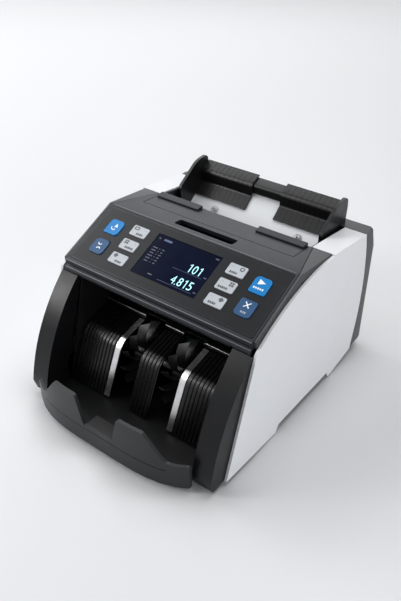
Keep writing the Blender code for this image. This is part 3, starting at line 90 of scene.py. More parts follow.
EVEN: Point = (1, 1, 1)
GRAIN_CELLS: dict[Grain, tuple[float, Point]] = {
    Grain.MOULDED: (2600, EVEN),
    Grain.SATIN: (700, EVEN),
    Grain.BRUSHED: (900, (0.04, 2, 2)),
    Grain.RUBBER: (1500, EVEN),
    Grain.GLOSS: (60, EVEN),
    Grain.BOARD: (500, EVEN),
}
GRAIN_STRENGTH: float = 0.5
CLOUDS: Pair = (38, 4.0)
CLOUD_STOPS: Pair = (0.3, 0.7)
SCRATCH_STRETCH: Point = (1, 30, 30)
TRACKS: Pair = (260, 0.0)
TRACK_STRETCH: Point = (1, 4, 1)
TRACK_STOPS: Point = (0.47, 0.5, 0.53)
TRACK_LIGHT: float = 1.9
WORN_STOPS: Pair = (0.52, 0.62)
WORN_LIGHT: float = 2.2
SMEARS: Pair = (90, 3.0)
GLOSS_SPREAD: Pair = (0.86, 1.14)
LEAST_ROUGHNESS: float = 0.03


@dataclass(frozen=True)
class Finish:
    """One finish of the machine, made of procedural nodes."""

    name: str
    slot: str
    colour: Point
    roughness: float
    grain: Grain
    metallic: float = 0.0
    mottle: float = 0.06
    depth: float = 0.00002
    wear: float = 0.0
    specular: float = 0.5
    glow: float = 0.0
    # Share of the colour taken away as painted shade on faces marked by the attribute.
    painted_inner_shade: float = 0.0

    def material(self) -> bpy.types.Material:
        """Find this finish's material, or make it on first use.

        Returns:
            The node material.
        """
        known = bpy.data.materials.get(self.name)
        return known if known else self.paint()

    def paint(self) -> bpy.types.Material:
        """Make the node tree: mottled colour, worn edges, painted inner shade, uneven gloss and grain.

        Returns:
            The new material.
        """
        material = bpy.data.materials.new(self.name)
        material.use_nodes = True
        tree = material.node_tree
        shader = tree.nodes["Principled BSDF"].inputs
        shader["Metallic"].default_value = self.metallic
        shader["Specular IOR Level"].default_value = self.specular
        place = tree.nodes.new("ShaderNodeTexCoord").outputs["Object"]
        tree.links.new(self.colour_nodes(tree, place), shader["Base Color"])
        tree.links.new(self.gloss_nodes(tree, place), shader["Roughness"])
        tree.links.new(self.grain_nodes(tree, place), shader["Normal"])
        if self.glow:
            shader["Emission Color"].default_value = (*self.colour, 1)
            shader["Emission Strength"].default_value = self.glow
        return material

    def noise(self, tree: Tree, place: Socket, scale: float, detail: float = 2.0,
              stretch: Point = EVEN) -> Socket:
        """Add a noise on Object coordinates.

        Args:
            tree: Node tree of the material.
            place: Object coordinates.
            scale: Cells per metre.
            detail: Octaves.
            stretch: Scale along each axis.

        Returns:
            The noise value, about 0 to 1.
        """
        mapping = tree.nodes.new("ShaderNodeMapping")
        mapping.inputs["Scale"].default_value = stretch
        texture = tree.nodes.new("ShaderNodeTexNoise")
        texture.inputs["Scale"].default_value = scale
        texture.inputs["Detail"].default_value = detail
        tree.links.new(place, mapping.inputs["Vector"])
        tree.links.new(mapping.outputs["Vector"], texture.inputs["Vector"])
        return texture.outputs["Fac"]

    def ramp(self, tree: Tree, value: Socket, stops: Iterable[float], colours: tuple[Point, ...]) -> Socket:
        """Colour a value by stops.

        Args:
            tree: Node tree of the material.
            value: Value to colour.
            stops: Places of the colours.
            colours: The colours.

        Returns:
            The colour.
        """
        ramp = tree.nodes.new("ShaderNodeValToRGB")
        while len(ramp.color_ramp.elements) < len(colours):
            ramp.color_ramp.elements.new(0.5)
        for element, place, colour in zip(ramp.color_ramp.elements, stops, colours):
            element.position = place
            element.color = (*colour, 1)
        tree.links.new(value, ramp.inputs["Fac"])
        return ramp.outputs["Color"]

    def shade(self, factor: float) -> Point:
        """Base colour times a factor."""
        return tuple(min(1.0, part * factor) for part in self.colour)

    def colour_nodes(self, tree: Tree, place: Socket) -> Socket:
        """Mottled base colour, paler along worn edges and darkened by painted shade on marked faces.

        Args:
            tree: Node tree of the material.
            place: Object coordinates.

        Returns:
            The colour.
        """
        if self.grain is Grain.BOARD:
            tracks = self.noise(tree, place, *TRACKS, TRACK_STRETCH)
            return self.ramp(tree, tracks, TRACK_STOPS, (self.colour, self.shade(TRACK_LIGHT), self.colour))
        stretch = SCRATCH_STRETCH if self.grain is Grain.BRUSHED else EVEN
        clouds = self.noise(tree, place, *CLOUDS, stretch)
        shades = (self.shade(1 - self.mottle), self.shade(1 + self.mottle))
        colour = self.ramp(tree, clouds, CLOUD_STOPS, shades)
        if self.wear:
            edge = tree.nodes.new("ShaderNodeNewGeometry").outputs["Pointiness"]
            mask = self.ramp(tree, edge, WORN_STOPS, ((0, 0, 0), (self.wear,) * 3))
            colour = self.blend(tree, mask, colour, WORN_LIGHT)
        # Painted shade: marked faces are darkened to stand for the shadow inside the tray.
        if self.painted_inner_shade:
            mask = tree.nodes.new("ShaderNodeAttribute")
            mask.attribute_name = PAINTED_SHADE_ATTRIBUTE
            colour = self.blend(tree, mask.outputs["Fac"], colour, 1 - self.painted_inner_shade)
        return colour

    def blend(self, tree: Tree, mask: Socket, colour: Socket, factor: float) -> Socket:
        """Blend a colour into a brighter or darker base colour.

        Args:
            tree: Node tree of the material.
            mask: Where the base colour shows.
            colour: Colour elsewhere.
            factor: Brightness of the base colour.

        Returns:
            The blended colour.
        """
        mix = tree.nodes.new("ShaderNodeMix")
        mix.data_type = "RGBA"
        tree.links.new(mask, mix.inputs["Factor"])
        tree.links.new(colour, mix.inputs["A"])
        mix.inputs["B"].default_value = (*self.shade(factor), 1)
        return mix.outputs["Result"]

    def gloss_nodes(self, tree: Tree, place: Socket) -> Socket:
        """Uneven roughness about the finish's own.

        Args:
            tree: Node tree of the material.
            place: Object coordinates.

        Returns:
            The roughness.
        """
        smooth, rough = GLOSS_SPREAD
        spread = tree.nodes.new("ShaderNodeMapRange")
        spread.inputs["To Min"].default_value = max(LEAST_ROUGHNESS, self.roughness * smooth)
        spread.inputs["To Max"].default_value = min(1.0, self.roughness * rough)
        tree.links.new(self.noise(tree, place, *SMEARS), spread.inputs["Value"])
        return spread.outputs["Result"]

    def grain_nodes(self, tree: Tree, place: Socket) -> Socket:
        """Bump of the surface pattern.

        Args:
            tree: Node tree of the material.
            place: Object coordinates.

        Returns:
            The bumped normal.
        """
        scale, stretch = GRAIN_CELLS[self.grain]
        bump = tree.nodes.new("ShaderNodeBump")
        bump.inputs["Strength"].default_value = GRAIN_STRENGTH
        bump.inputs["Distance"].default_value = self.depth
        tree.links.new(self.noise(tree, place, scale, stretch=stretch), bump.inputs["Height"])
        return bump.outputs["Normal"]


WHITE_SHELL = Finish("white_satin_shell", "white_shell", (0.70, 0.715, 0.74), 0.38, Grain.SATIN,
                     mottle=0.012, depth=0.00001, specular=0.3)
FEED_WHITE = Finish("white_feed_plate", "white_shell", (0.70, 0.72, 0.745), 0.42, Grain.SATIN,
                    mottle=0.015, depth=0.00001, specular=0.4)
DARK_SHELL = Finish("dark_grey_shell", "dark_shell", (0.021, 0.022, 0.025), 0.38, Grain.MOULDED,
                    wear=0.15, specular=0.40)
BLACK_SHELL = Finish("black_column_shell", "black_plastic", (0.0040, 0.0041, 0.0048), 0.32, Grain.MOULDED,
                     wear=0.15, specular=0.23)
BLACK_INNER = Finish("black_inner_plastic", "black_plastic", (0.0022, 0.0022, 0.0025), 0.28, Grain.SATIN,
                     specular=0.4)
BLACK_HOPPER = Finish("black_hopper_plastic", "black_plastic", (0.0042, 0.0043, 0.0050), 0.32, Grain.MOULDED,
                      wear=0.15, specular=0.34)
GREY_COVER = Finish("grey_cover", "grey_plastic", (0.0145, 0.0158, 0.0200), 0.36, Grain.MOULDED,
                    wear=0.25, specular=0.22)
# Painted highlight: pale grey for thin rods that stand for the bright highlights along the cover's crest, lip
# edge and bead.
PAINTED_HIGHLIGHT_GREY = Finish("painted_cover_highlight", "grey_plastic", (0.150, 0.157, 0.170), 0.40, Grain.SATIN)
# The tray's inner faces get painted shade, down to 15 per cent of this colour.
GREY_TRAY = Finish("grey_tray", "grey_plastic", (0.017, 0.018, 0.020), 0.38, Grain.MOULDED,
                   wear=0.2, specular=0.28, painted_inner_shade=0.85)
GREY_BAR = Finish("grey_bar", "grey_plastic", (0.0052, 0.0054, 0.0062), 0.32, Grain.MOULDED,
                  wear=0.15, specular=0.34)
FRAME_STEEL = Finish("black_frame_steel", "black_steel", (0.005, 0.005, 0.0055), 0.42, Grain.SATIN,
                     metallic=0.3)
PANEL_FILM = Finish("panel_film", "panel_face", (0.0085, 0.0092, 0.0108), 0.34, Grain.SATIN,
                    mottle=0.03, depth=0.000008, specular=0.16)
SCREEN_NAVY = Finish("screen_navy", "screen_glass", (0.0040, 0.0062, 0.019), 0.14, Grain.GLOSS,
                     mottle=0.2, depth=0.000002, specular=0.03)
DIGIT_CYAN = Finish("screen_digits", "screen_glass", (0.42, 0.86, 0.93), 0.4, Grain.GLOSS,
                    mottle=0.04, glow=0.3)
LINE_BLUE = Finish("screen_lines", "screen_glass", (0.016, 0.030, 0.090), 0.4, Grain.GLOSS, glow=0.22)
LIST_BLUE = Finish("screen_list", "screen_glass", (0.026, 0.034, 0.062), 0.4, Grain.GLOSS, glow=0.2)
TAG_BLUE = Finish("screen_tag", "screen_glass", (0.028, 0.058, 0.14), 0.4, Grain.GLOSS, glow=0.25)
KEY_LIGHT = Finish("light_key_cap", "light_key", (0.43, 0.46, 0.495), 0.40, Grain.SATIN,
                   mottle=0.02, depth=0.00001, specular=0.35)
KEY_BRIGHT = Finish("bright_blue_key_cap", "blue_key", (0.004, 0.180, 0.480), 0.36, Grain.SATIN,
                    mottle=0.03, depth=0.00001, specular=0.2)
KEY_MUTED = Finish("muted_blue_key_cap", "blue_key", (0.024, 0.076, 0.172), 0.38, Grain.SATIN,
                   mottle=0.03, depth=0.00001, specular=0.2)
MARK_DARK = Finish("key_mark_dark", "light_key", (0.060, 0.062, 0.068), 0.5, Grain.SATIN)
MARK_PALE = Finish("key_mark_pale", "light_key", (0.36, 0.39, 0.43), 0.5, Grain.SATIN)
MARK_WHITE = Finish("key_mark_white", "blue_key", (0.80, 0.84, 0.88), 0.5, Grain.SATIN)
STRIP_STEEL = Finish("bright_strip_steel", "bright_steel", (0.66, 0.65, 0.66), 0.24, Grain.BRUSHED,
                     metallic=1.0, depth=0.00001)
SHAFT_STEEL = Finish("shaft_steel", "bright_steel", (0.50, 0.50, 0.51), 0.28, Grain.BRUSHED, metallic=1.0)
SCREW_STEEL = Finish("screw_steel", "bright_steel", (0.24, 0.24, 0.25), 0.36, Grain.BRUSHED, metallic=1.0)
SUPPLY_CASE = Finish("supply_case_metal", "supply_case", (0.52, 0.53, 0.54), 0.40, Grain.BRUSHED,
                     metallic=1.0)
FIN_BLACK = Finish("black_fin_plastic", "wheel_plastic", (0.0040, 0.0040, 0.0045), 0.36, Grain.SATIN,
                   specular=0.3)
RUBBER = Finish("black_rubber", "black_rubber", (0.012, 0.012, 0.013), 0.78, Grain.RUBBER, mottle=0.2)
BOARD_GREEN = Finish("green_board", "circuit_board", (0.012, 0.105, 0.045), 0.34, Grain.BOARD)


class Bench:
    """Turns shapes into pieces of the machine and says which bodies they ride on."""

    def __init__(self, record: dict) -> None:
        """Read which body each node rides on.

        Args:
            record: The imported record.
        """
        groups = record["behaviour"]["bodies"]
        self.body_of: dict[str, str] = {node: body for body, nodes in groups.items() for node in nodes}

    def piece(self, name: str, shape: Shape, finish: Finish, body: str, stands_for: tuple[str, ...] = (),
              edge: float = 0.0, segments: int = 2, corner: float = CORNER) -> bpy.types.Object:
        """Make an object of a shape, finish it and set it on its body.

        Args:
            name: Name of the piece.
            shape: Shape in the machine's frame; it is freed.
            finish: Finish of the piece.
            body: Body that it rides on.
            stands_for: Nodes that it takes the place of.
            edge: Width of the rounded edges, or 0 for none.
            segments: Steps of the rounded edges.
            corner: Least angle of an edge that is rounded or sharp, in degrees.

        Returns:
            The new object.
        """
        mesh = bpy.data.meshes.new(name)
        shape.to_mesh(mesh)
        shape.free()
        mesh.shade_smooth()
        thing = bpy.data.objects.new(name, mesh)
        bpy.context.scene.collection.objects.link(thing)
        mesh.materials.append(finish.material())
        if edge:
            bevel = thing.modifiers.new("edge", "BEVEL")
            bevel.limit_method = "ANGLE"
            bevel.angle_limit = math.radians(corner)
            bevel.width = edge
            bevel.segments = segments
            bevel.miter_outer = "MITER_ARC"
            normals = thing.modifiers.new("normals", "WEIGHTED_NORMAL")
            normals.keep_sharp = False
        else:
            mesh.set_sharp_from_angle(angle=math.radians(corner))
        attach(thing, body)
        if stands_for:
            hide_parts(*stands_for)
        LOG.info("%s rides on %s", name, body)
        return thing

    def copy(self, node: str) -> Shape:
        """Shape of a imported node, merged and with its flat faces joined.

        Args:
            node: Name of the node.

        Returns:
            The shape.
        """
        shape = bmesh.new()
        shape.from_mesh(frame["nodes"][node].data)
        bmesh.ops.remove_doubles(shape, verts=shape.verts, dist=WELD)
        bmesh.ops.dissolve_limit(shape, angle_limit=FLAT, use_dissolve_boundaries=False,
                                 verts=shape.verts, edges=shape.edges, delimit=set())
        return shape

    def dress(self, node: str, finish: Finish, edge: float, segments: int = 2, corner: float = CORNER,
              shape: Shape | None = None) -> bpy.types.Object:
        """Stand-in for a node, with its edges rounded.

        Args:
            node: Name of the node.
            finish: Finish of the piece.
            edge: Width of the rounded edges.
            segments: Steps of the rounded edges.
            corner: Least angle of an edge that is rounded, in degrees.
            shape: Reworked shape, which is freed, or None for the node's own.

        Returns:
            The new object.
        """
        if shape is None:
            shape = self.copy(node)
        body = self.body_of[node]
        return self.piece(f"{node}_shell", shape, finish, body, (node,), edge, segments, corner)


def whole(shape: Shape) -> list:
    """All vertices, edges and faces of a shape."""
    return shape.verts[:] + shape.edges[:] + shape.faces[:]


def only(items: Iterable, kind: type) -> list:
    """Those of an operator's results that are of one kind."""
    return [item for item in items if isinstance(item, kind)]


def shift(shape: Shape, x: float, y: float, z: float) -> None:
    """Move a whole shape."""
    bmesh.ops.translate(shape, vec=(x, y, z), verts=shape.verts)


def swing(shape: Shape, degrees: float, axis: str) -> None:
    """Turn a whole shape about an axis through the origin."""
    turn = Matrix.Rotation(math.radians(degrees), 3, axis)
    bmesh.ops.rotate(shape, cent=(0, 0, 0), matrix=turn, verts=shape.verts)


def round_corner(shape: Shape, near: Point, radius: float, steps: int = 6) -> None:
    """Round the corner of a flat face that is nearest to a point.

    Args:
        shape: The flat face.
        near: Point at or beyond the corner.
        radius: Length that the rounding takes of each side.
        steps: Steps of the rounding.
    """
    here = min(shape.verts, key=lambda vert: (vert.co - Vector(near)).length)
    bmesh.ops.bevel(shape, geom=[here], offset=radius, affect="VERTICES", segments=steps, profile=0.5,
                    material=-1)


def plate(width: float, height: float, radii: tuple[float, ...], steps: int = 6) -> Shape:
    """Flat face about the origin with its corners rounded.

    Args:
        width: Size along X.
        height: Size along Y.
        radii: Corner radii from the lower left, anticlockwise.
        steps: Steps of each corner.

    Returns:
        The face in the XY plane.
    """
    shape = bmesh.new()
    bmesh.ops.create_grid(shape, x_segments=1, y_segments=1, size=0.5)
    bmesh.ops.scale(shape, vec=(width, height, 1), verts=shape.verts)
    corners = ((-1, -1), (1, -1), (1, 1), (-1, 1))
    for (x, y), radius in zip(corners, radii):
        round_corner(shape, (x * width, y * height, 0), radius, steps)
    return shape


def thicken(shape: Shape, depth: float, axis: Point = (0, 0, 1)) -> list[bmesh.types.BMFace]:
    """Raise a flat shape into a closed solid.

    Args:
        shape: Flat faces.
        depth: Height of the solid.
        axis: Direction in which it is raised.

    Returns:
        The faces of the raised top.
    """
    raised = bmesh.ops.extrude_face_region(shape, geom=shape.faces[:], use_keep_orig=True)["geom"]
    bmesh.ops.translate(shape, vec=Vector(axis) * depth, verts=only(raised, bmesh.types.BMVert))
    bmesh.ops.recalc_face_normals(shape, faces=shape.faces)
    return only(raised, bmesh.types.BMFace)


def outline(x: float, line: tuple[Pair, ...]) -> Shape:
    """Flat face across the machine with corners given by depth and height.

    Args:
        x: Place of the face.
        line: Depth and height of each corner.

    Returns:
        The face.
    """
    shape = bmesh.new()
    shape.faces.new([shape.verts.new((x, y, z)) for y, z in line])
    return shape


def trim(shape: Shape, place: Point, out: Point) -> None:
    """Cut away what lies beyond a plane and close the cut.

    Args:
        shape: Closed shape to cut.
        place: Point on the plane.
        out: Direction of the side that goes.
    """
    cut = bmesh.ops.bisect_plane(shape, geom=whole(shape), dist=WELD, plane_co=place, plane_no=out,
                                 clear_outer=True)["geom_cut"]
    bmesh.ops.edgeloop_fill(shape, edges=only(cut, bmesh.types.BMEdge))
    bmesh.ops.recalc_face_normals(shape, faces=shape.faces)


def spun(profile: Iterable[Pair], steps: int) -> Shape:
    """Shape turned about the Z axis, closed where its profile is.

    Args:
        profile: Pairs of radius and height.
        steps: Steps of the full turn.

    Returns:
        The turned shape.
    """
    shape = bmesh.new()
    verts = [shape.verts.new((radius, 0, height)) for radius, height in profile]
    edges = [shape.edges.new(pair) for pair in zip(verts, verts[1:])]
    bmesh.ops.spin(shape, geom=verts + edges, cent=(0, 0, 0), axis=(0, 0, 1), angle=2 * math.pi, steps=steps,
                   use_merge=True)
    bmesh.ops.remove_doubles(shape, verts=shape.verts, dist=WELD)
    bmesh.ops.recalc_face_normals(shape, faces=shape.faces)
    return shape


def rod(left: float, right: float, place: Pair, radius: float, steps: int = 12) -> Shape:
    """Thin round bar across the machine.

    Args:
        left: Left end.
        right: Right end.
        place: Depth and height of its middle.
        radius: Its radius.
        steps: Steps of its turn.

    Returns:
        The closed bar.
    """
    shape = spun(((0, left), (radius, left), (radius, right), (0, right)), steps)
    swing(shape, 90, "Y")
    shift(shape, 0, *place)
    return shape


def ring_mark(radius: float, hole: float, steps: int = 20) -> Shape:
    """Flat ring about the origin, from its hole out to its radius."""
    return spun(((hole, 0), (radius, 0)), steps)


def arc_mark(radius: float, width: float, start: float, sweep: float = 150.0, steps: int = 14) -> Shape:
    """Open flat bow about the origin.

    Args:
        radius: Outer radius.
        width: Width of the bow.
        start: Angle of its first end from +X, in degrees.
        sweep: Angle of the bow, in degrees.
        steps: Steps of the bow.

    Returns:
        The flat bow.
    """
    shape = bmesh.new()
    ends = [shape.verts.new((reach, 0, 0)) for reach in (radius - width, radius)]
    edge = shape.edges.new(ends)
    swing(shape, start, "Z")
    bmesh.ops.spin(shape, geom=[*ends, edge], cent=(0, 0, 0), axis=(0, 0, 1), angle=math.radians(sweep),
                   steps=steps)
    return shape


def dash_marks(count: int, pitch: float, width: float, height: float, short: float = 0.8) -> Shape:
    """Row of plain upright dashes about the origin.

    Args:
        count: Number of dashes.
        pitch: Distance between their middles.
        width: Width of each.
        height: Height of each.
        short: Share of the height that every second dash has.

    Returns:
        The flat dashes.
    """
    shape = bmesh.new()
    for i in range(count):
        verts = bmesh.ops.create_grid(shape, x_segments=1, y_segments=1, size=0.5)["verts"]
        bmesh.ops.scale(shape, vec=(width, height * (short if i % 2 else 1), 1), verts=verts)
        bmesh.ops.translate(shape, vec=((i - (count - 1) / 2) * pitch, 0, 0), verts=verts)
    return shape


def frame_mark(width: float, height: float, line: float) -> Shape:
    """Outline of a rounded card about the origin.

    Args:
        width: Outer width.
        height: Outer height.
        line: Width of the line.

    Returns:
        The flat outline.
    """
    shape = plate(width, height, (line,) * 4, 4)
    ring = bmesh.ops.inset_region(shape, faces=shape.faces[:], thickness=line, use_even_offset=True,
                                  use_boundary=True)["faces"]
    bmesh.ops.delete(shape, geom=[face for face in shape.faces if face not in ring], context="FACES")
    return shape


def square_mark(size: float, pitch: float) -> Shape:
    """Four small squares about the origin.

    Args:
        size: Side of each square.
        pitch: Distance between their middles.

    Returns:
        The flat squares.
    """
    shape = bmesh.new()
    for x in (-pitch / 2, pitch / 2):
        for y in (-pitch / 2, pitch / 2):
            verts = bmesh.ops.create_grid(shape, x_segments=1, y_segments=1, size=size / 2)["verts"]
            bmesh.ops.translate(shape, vec=(x, y, 0), verts=verts)
    return shape


def cross_mark(length: float, width: float, turn: float = 0.0) -> Shape:
    """Upright cross about the origin, then turned.

    Args:
        length: Length of each arm pair.
        width: Width of the arms.
        turn: Turn about the origin, in degrees.

    Returns:
        The flat cross.
    """
    shape = bmesh.new()
    bmesh.ops.create_grid(shape, x_segments=1, y_segments=1, size=width / 2)
    for edge in list(shape.edges):
        out = (edge.verts[0].co + edge.verts[1].co).normalized() * (length - width) / 2
        arm = bmesh.ops.extrude_edge_only(shape, edges=[edge])["geom"]
        bmesh.ops.translate(shape, vec=out, verts=only(arm, bmesh.types.BMVert))
    swing(shape, turn, "Z")
    return shape


def triangle_mark(width: float, height: float, turn: float) -> Shape:
    """Triangle that points up the panel, then turned.

    Args:
        width: Length of its foot.
        height: Height over its foot.
        turn: Turn about the origin, in degrees.

    Returns:
        The flat triangle.
    """
    shape = bmesh.new()
    corners = ((-width / 2, -height / 2, 0), (width / 2, -height / 2, 0), (0, height / 2, 0))
    shape.faces.new([shape.verts.new(corner) for corner in corners])
    swing(shape, turn, "Z")
    return shape


@dataclass
class Slope:
    """Face of the control panel: x across, s up from its foot and n out of it."""

    foot_y: float = -0.0810
    foot_z: float = 0.1515
    tilt: float = math.radians(24.8)

    def seat(self, shape: Shape, x: float, s: float, n: float) -> Shape:
        """Move a flat shape to its place on the panel.

        Args:
            shape: Shape in the XY plane.
            x: Place across the panel.
            s: Place up the panel.
            n: Height over its face.

        Returns:
            The same shape.
        """
        place = Matrix.Translation((0, self.foot_y, self.foot_z)) @ Matrix.Rotation(self.tilt, 4, "X")
        bmesh.ops.transform(shape, matrix=place @ Matrix.Translation((x, s, n)), verts=shape.verts)
        return shape


@dataclass
class Shells:
    """Outer shells, columns, wings, pan and feet."""

    bench: Bench
    side_edge: float = 0.0011
    rear_edge: float = 0.0010
    column_edge: float = 0.0014
    wing_edge: float = 0.0005
    pan_edge: float = 0.0005
    skirts: tuple[Point, ...] = (
        (-0.0342, 0.0060, 0.0040), (0.0818, 0.0060, 0.0040), (0.1339, 0.0150, 0.0035))
    skirt_reach: float = 0.0005
    corner_place: Point = (0.1310, 0.1583, 0.1683)
    corner_round: float = 0.0090
    corner_lean: float = 0.36
    corner_turns: tuple[float, ...] = (15.0, 30.0, 45.0, 60.0)
    crown_rise: float = 0.0015
    crown_turns: tuple[float, ...] = (20.0, 40.0, 60.0)
    foot_edge: float = 0.0004
    foot_profile: tuple[Pair, ...] = (
        (0, 1), (1, 1), (1, 0.6), (0.92, 0.5), (0.92, 0.16), (0.86, 0), (0.5, 0), (0.4, 0.08), (0, 0.08))

    def build(self) -> None:
        """Dress every shell."""
        for _, hand in SIDES:
            self.side_panel(hand)
            self.bench.dress(f"{hand}_column", BLACK_SHELL, self.column_edge, FINE)
            self.bench.dress(f"{hand}_wing", DARK_SHELL, self.wing_edge)
            self.bench.dress(f"{hand}_frame", FRAME_STEEL, self.pan_edge)
            for end in ("front", "rear"):
                self.foot(f"foot_{end}_{hand}")
        self.rear_cover()
        self.bench.dress("base_pan", BLACK_SHELL, self.pan_edge)

    def side_panel(self, hand: str) -> None:
        """White side with its lower edge drawn down at both ends of the notch.

        Args:
            hand: Name of the side.
        """
        node = f"{hand}_side_panel"
        shape = self.bench.copy(node)
        for y, z, drop in self.skirts:
            corner = [vert for vert in shape.verts if (vert.co.yz - Vector((y, z))).length < self.skirt_reach]
            bmesh.ops.translate(shape, vec=(0, 0, -drop), verts=corner)
        self.bench.dress(node, WHITE_SHELL, self.side_edge, FINE, shape=shape)

    def rear_cover(self) -> None:
        """Rear cover with its upper corners cut round."""
        node = "rear_cover"
        shape = self.bench.copy(node)
        x, y, z = self.corner_place
        turns = [math.radians(turn) for turn in self.corner_turns]
        cuts = [(turn, 0.0, self.corner_lean * math.sin(turn)) for turn in turns]
        cuts += [(math.radians(turn), self.crown_rise, 1.0) for turn in self.crown_turns]
        for side, _ in SIDES:
            for turn, rise, lean in cuts:
                across = math.cos(turn)
                back = math.sin(turn)
                edge = x - self.corner_round * (1 - across)
                place = (side * edge, y - self.corner_round * (1 - back), z + rise)
                trim(shape, place, (side * across, back, lean))
        self.bench.dress(node, DARK_SHELL, self.rear_edge, FINE, shape=shape)

    def foot(self, node: str) -> None:
        """Turned rubber foot with a soft lower edge.

        Args:
            node: Name of the foot.
        """
        low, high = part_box(node)
        middle = (low + high) / 2
        radius = (high.x - low.x) / 2
        shape = spun([(radius * out, high.z * up) for out, up in self.foot_profile], ROUND)
        shift(shape, middle.x, middle.y, 0)
        self.bench.piece(f"{node}_rubber", shape, RUBBER, CHASSIS, (node,), self.foot_edge)


@dataclass
class Pocket:
    """Stacker tray with painted shade on its inner faces, ribbed guides, steel strips and finned wheels."""

    bench: Bench
    tray_edge: float = 0.0008
    tray_rim: float = 0.0002
    shaded_slopes: Pair = (0.25, 0.2)
    rib_edge: float = 0.0003
    strip_edge: float = 0.00025
    wheel_x: float = 0.0275
    wheel_place: Pair = (-0.0642, 0.055)
    wheel_width: float = 0.0116
    hub: float = 0.0130
    hub_edge: float = 0.0004
    bore: float = 0.0042
    blades: int = 12
    blade_steps: int = 10
    blade_start: float = 0.0122
    blade_bend: float = math.radians(64)
    blade_centre: Pair = (0.0025, -0.0289)
    blade_slant: float = 0.007
    blade_wall: float = 0.0008

    def build(self) -> None:
        """Dress the pocket."""
        self.paint_inner_shade(self.bench.dress("stacker_tray", GREY_TRAY, self.tray_edge, FINE))
        self.bench.dress("middle_stack_guide", BLACK_INNER, self.rib_edge)
        for side, hand in SIDES:
            self.bench.dress(f"{hand}_stack_guide", BLACK_INNER, self.rib_edge)
            self.bench.dress(f"{hand}_guide_strip", STRIP_STEEL, self.strip_edge)
            self.wheel(side, hand)

    def paint_inner_shade(self, tray: bpy.types.Object) -> None:
        """Mark the tray's inner faces, which get painted shade for the shadow inside the pocket.

        Args:
            tray: The dressed tray.
        """
        back, up = self.shaded_slopes
        # Faces that look back or up into the pocket are marked for painted shade.
        layer = tray.data.attributes.new(PAINTED_SHADE_ATTRIBUTE, "FLOAT", "FACE")
        for item, face in zip(layer.data, tray.data.polygons):
            item.value = float(face.normal.y > back or face.normal.z > up and face.area > self.tray_rim)

    def wheel(self, side: int, hand: str) -> None:
        """Hub and the thin swept blades about it.

        Args:
            side: -1 on the left and 1 on the right.
            hand: Name of the side.
        """
        node = f"{hand}_stacker_wheel"
        body = self.bench.body_of[node]
        seat = Matrix.Translation((side * self.wheel_x, *self.wheel_place))
        half = self.wheel_width / 2
        bore, hub = self.bore, self.hub
        shape = spun(((bore, -half), (hub, -half), (hub, half), (bore, half), (bore, -half)), ROUND)
        bmesh.ops.transform(shape, matrix=seat @ Matrix.Rotation(math.pi / 2, 4, "Y"), verts=shape.verts)
        self.bench.piece(f"{node}_hub", shape, FIN_BLACK, body, (node,), self.hub_edge)
        shape = self.blade()
        sweep = 2 * math.pi * (1 - 1 / self.blades)
        bmesh.ops.spin(shape, geom=whole(shape), cent=(0, 0, 0), axis=(1, 0, 0), angle=sweep,
                       steps=self.blades - 1, use_duplicate=True)
        bmesh.ops.transform(shape, matrix=seat, verts=shape.verts)
        self.bench.piece(f"{node}_blades", shape, FIN_BLACK, body)

    def blade(self) -> Shape:
        """One curved blade with a slanted tip.

        Returns:
            The blade about the wheel's middle.
        """
        half = self.wheel_width / 2
        shape = bmesh.new()
        ends = [shape.verts.new((x, self.blade_start, 0)) for x in (-half, half)]
        edge = shape.edges.new(ends)
        bmesh.ops.spin(shape, geom=[*ends, edge], cent=(0, *self.blade_centre), axis=(1, 0, 0),
                       angle=-self.blade_bend, steps=self.blade_steps)
        tip = max((vert for vert in shape.verts if vert.co.x > 0), key=lambda vert: vert.co.yz.length)
        arm = tip.co - Vector((half, *self.blade_centre))
        along = Vector((0, arm.z, -arm.y)).normalized()
        slant = Vector((-self.blade_slant, along.y * self.wheel_width, along.z * self.wheel_width))
        bmesh.ops.bisect_plane(shape, geom=whole(shape), dist=WELD, plane_co=tip.co, plane_no=slant,
                               clear_outer=True)
        bmesh.ops.solidify(shape, geom=shape.faces[:], thickness=self.blade_wall)
        bmesh.ops.recalc_face_normals(shape, faces=shape.faces)
        return shape


@dataclass
class UpperUnit:
    """Tilting unit: cover with painted highlight rods along its crest and lip, panel plate, throat flaps,
    upper guide and sensor.
    """

    bench: Bench
    slope: Slope
    cover_edge: float = 0.0007
    plate_edge: float = 0.0004
    flap_edge: float = 0.0006
    guide_edge: float = 0.0004
    board_edge: float = 0.0002
    border_size: Pair = (0.2396, 0.0771)
    border_s: float = 0.0442
    border_line: float = 0.0005
    # Painted highlight lines: name, half length, and depth and height of each pale rod.
    highlight_lines: tuple[tuple[str, float, Pair], ...] = (
        ("crest", 0.1205, (-0.0024, 0.1875)),
        ("lip", 0.1236, (-0.0808, 0.1514)),
        ("bead", 0.1236, (-0.0822, 0.1433)),
    )
    highlight_line_radius: float = 0.0004

    def build(self) -> None:
        """Dress the tilting unit."""
        self.bench.dress("door_cover", GREY_COVER, self.cover_edge)
        self.bench.dress("control_panel", PANEL_FILM, self.plate_edge)
        # Pale rods along the crest, lip and bead are painted highlights, not parts of the cover.
        for label, half, place in self.highlight_lines:
            self.bench.piece(f"{label}_line", rod(-half, half, place, self.highlight_line_radius), PAINTED_HIGHLIGHT_GREY, UPPER)
        border = frame_mark(*self.border_size, self.border_line)
        thicken(border, SKIN)
        self.slope.seat(border, 0, self.border_s, SKIN / 4)
        self.bench.piece("panel_border", border, BLACK_INNER, UPPER)
        self.bench.dress("upper_guide", BLACK_INNER, self.guide_edge)
        self.bench.dress("image_sensor", BLACK_INNER, self.guide_edge)
        self.bench.dress("display_board", BOARD_GREEN, self.board_edge)
        for _, hand in SIDES:
            self.bench.dress(f"{hand}_throat_flap", GREY_COVER, self.flap_edge)


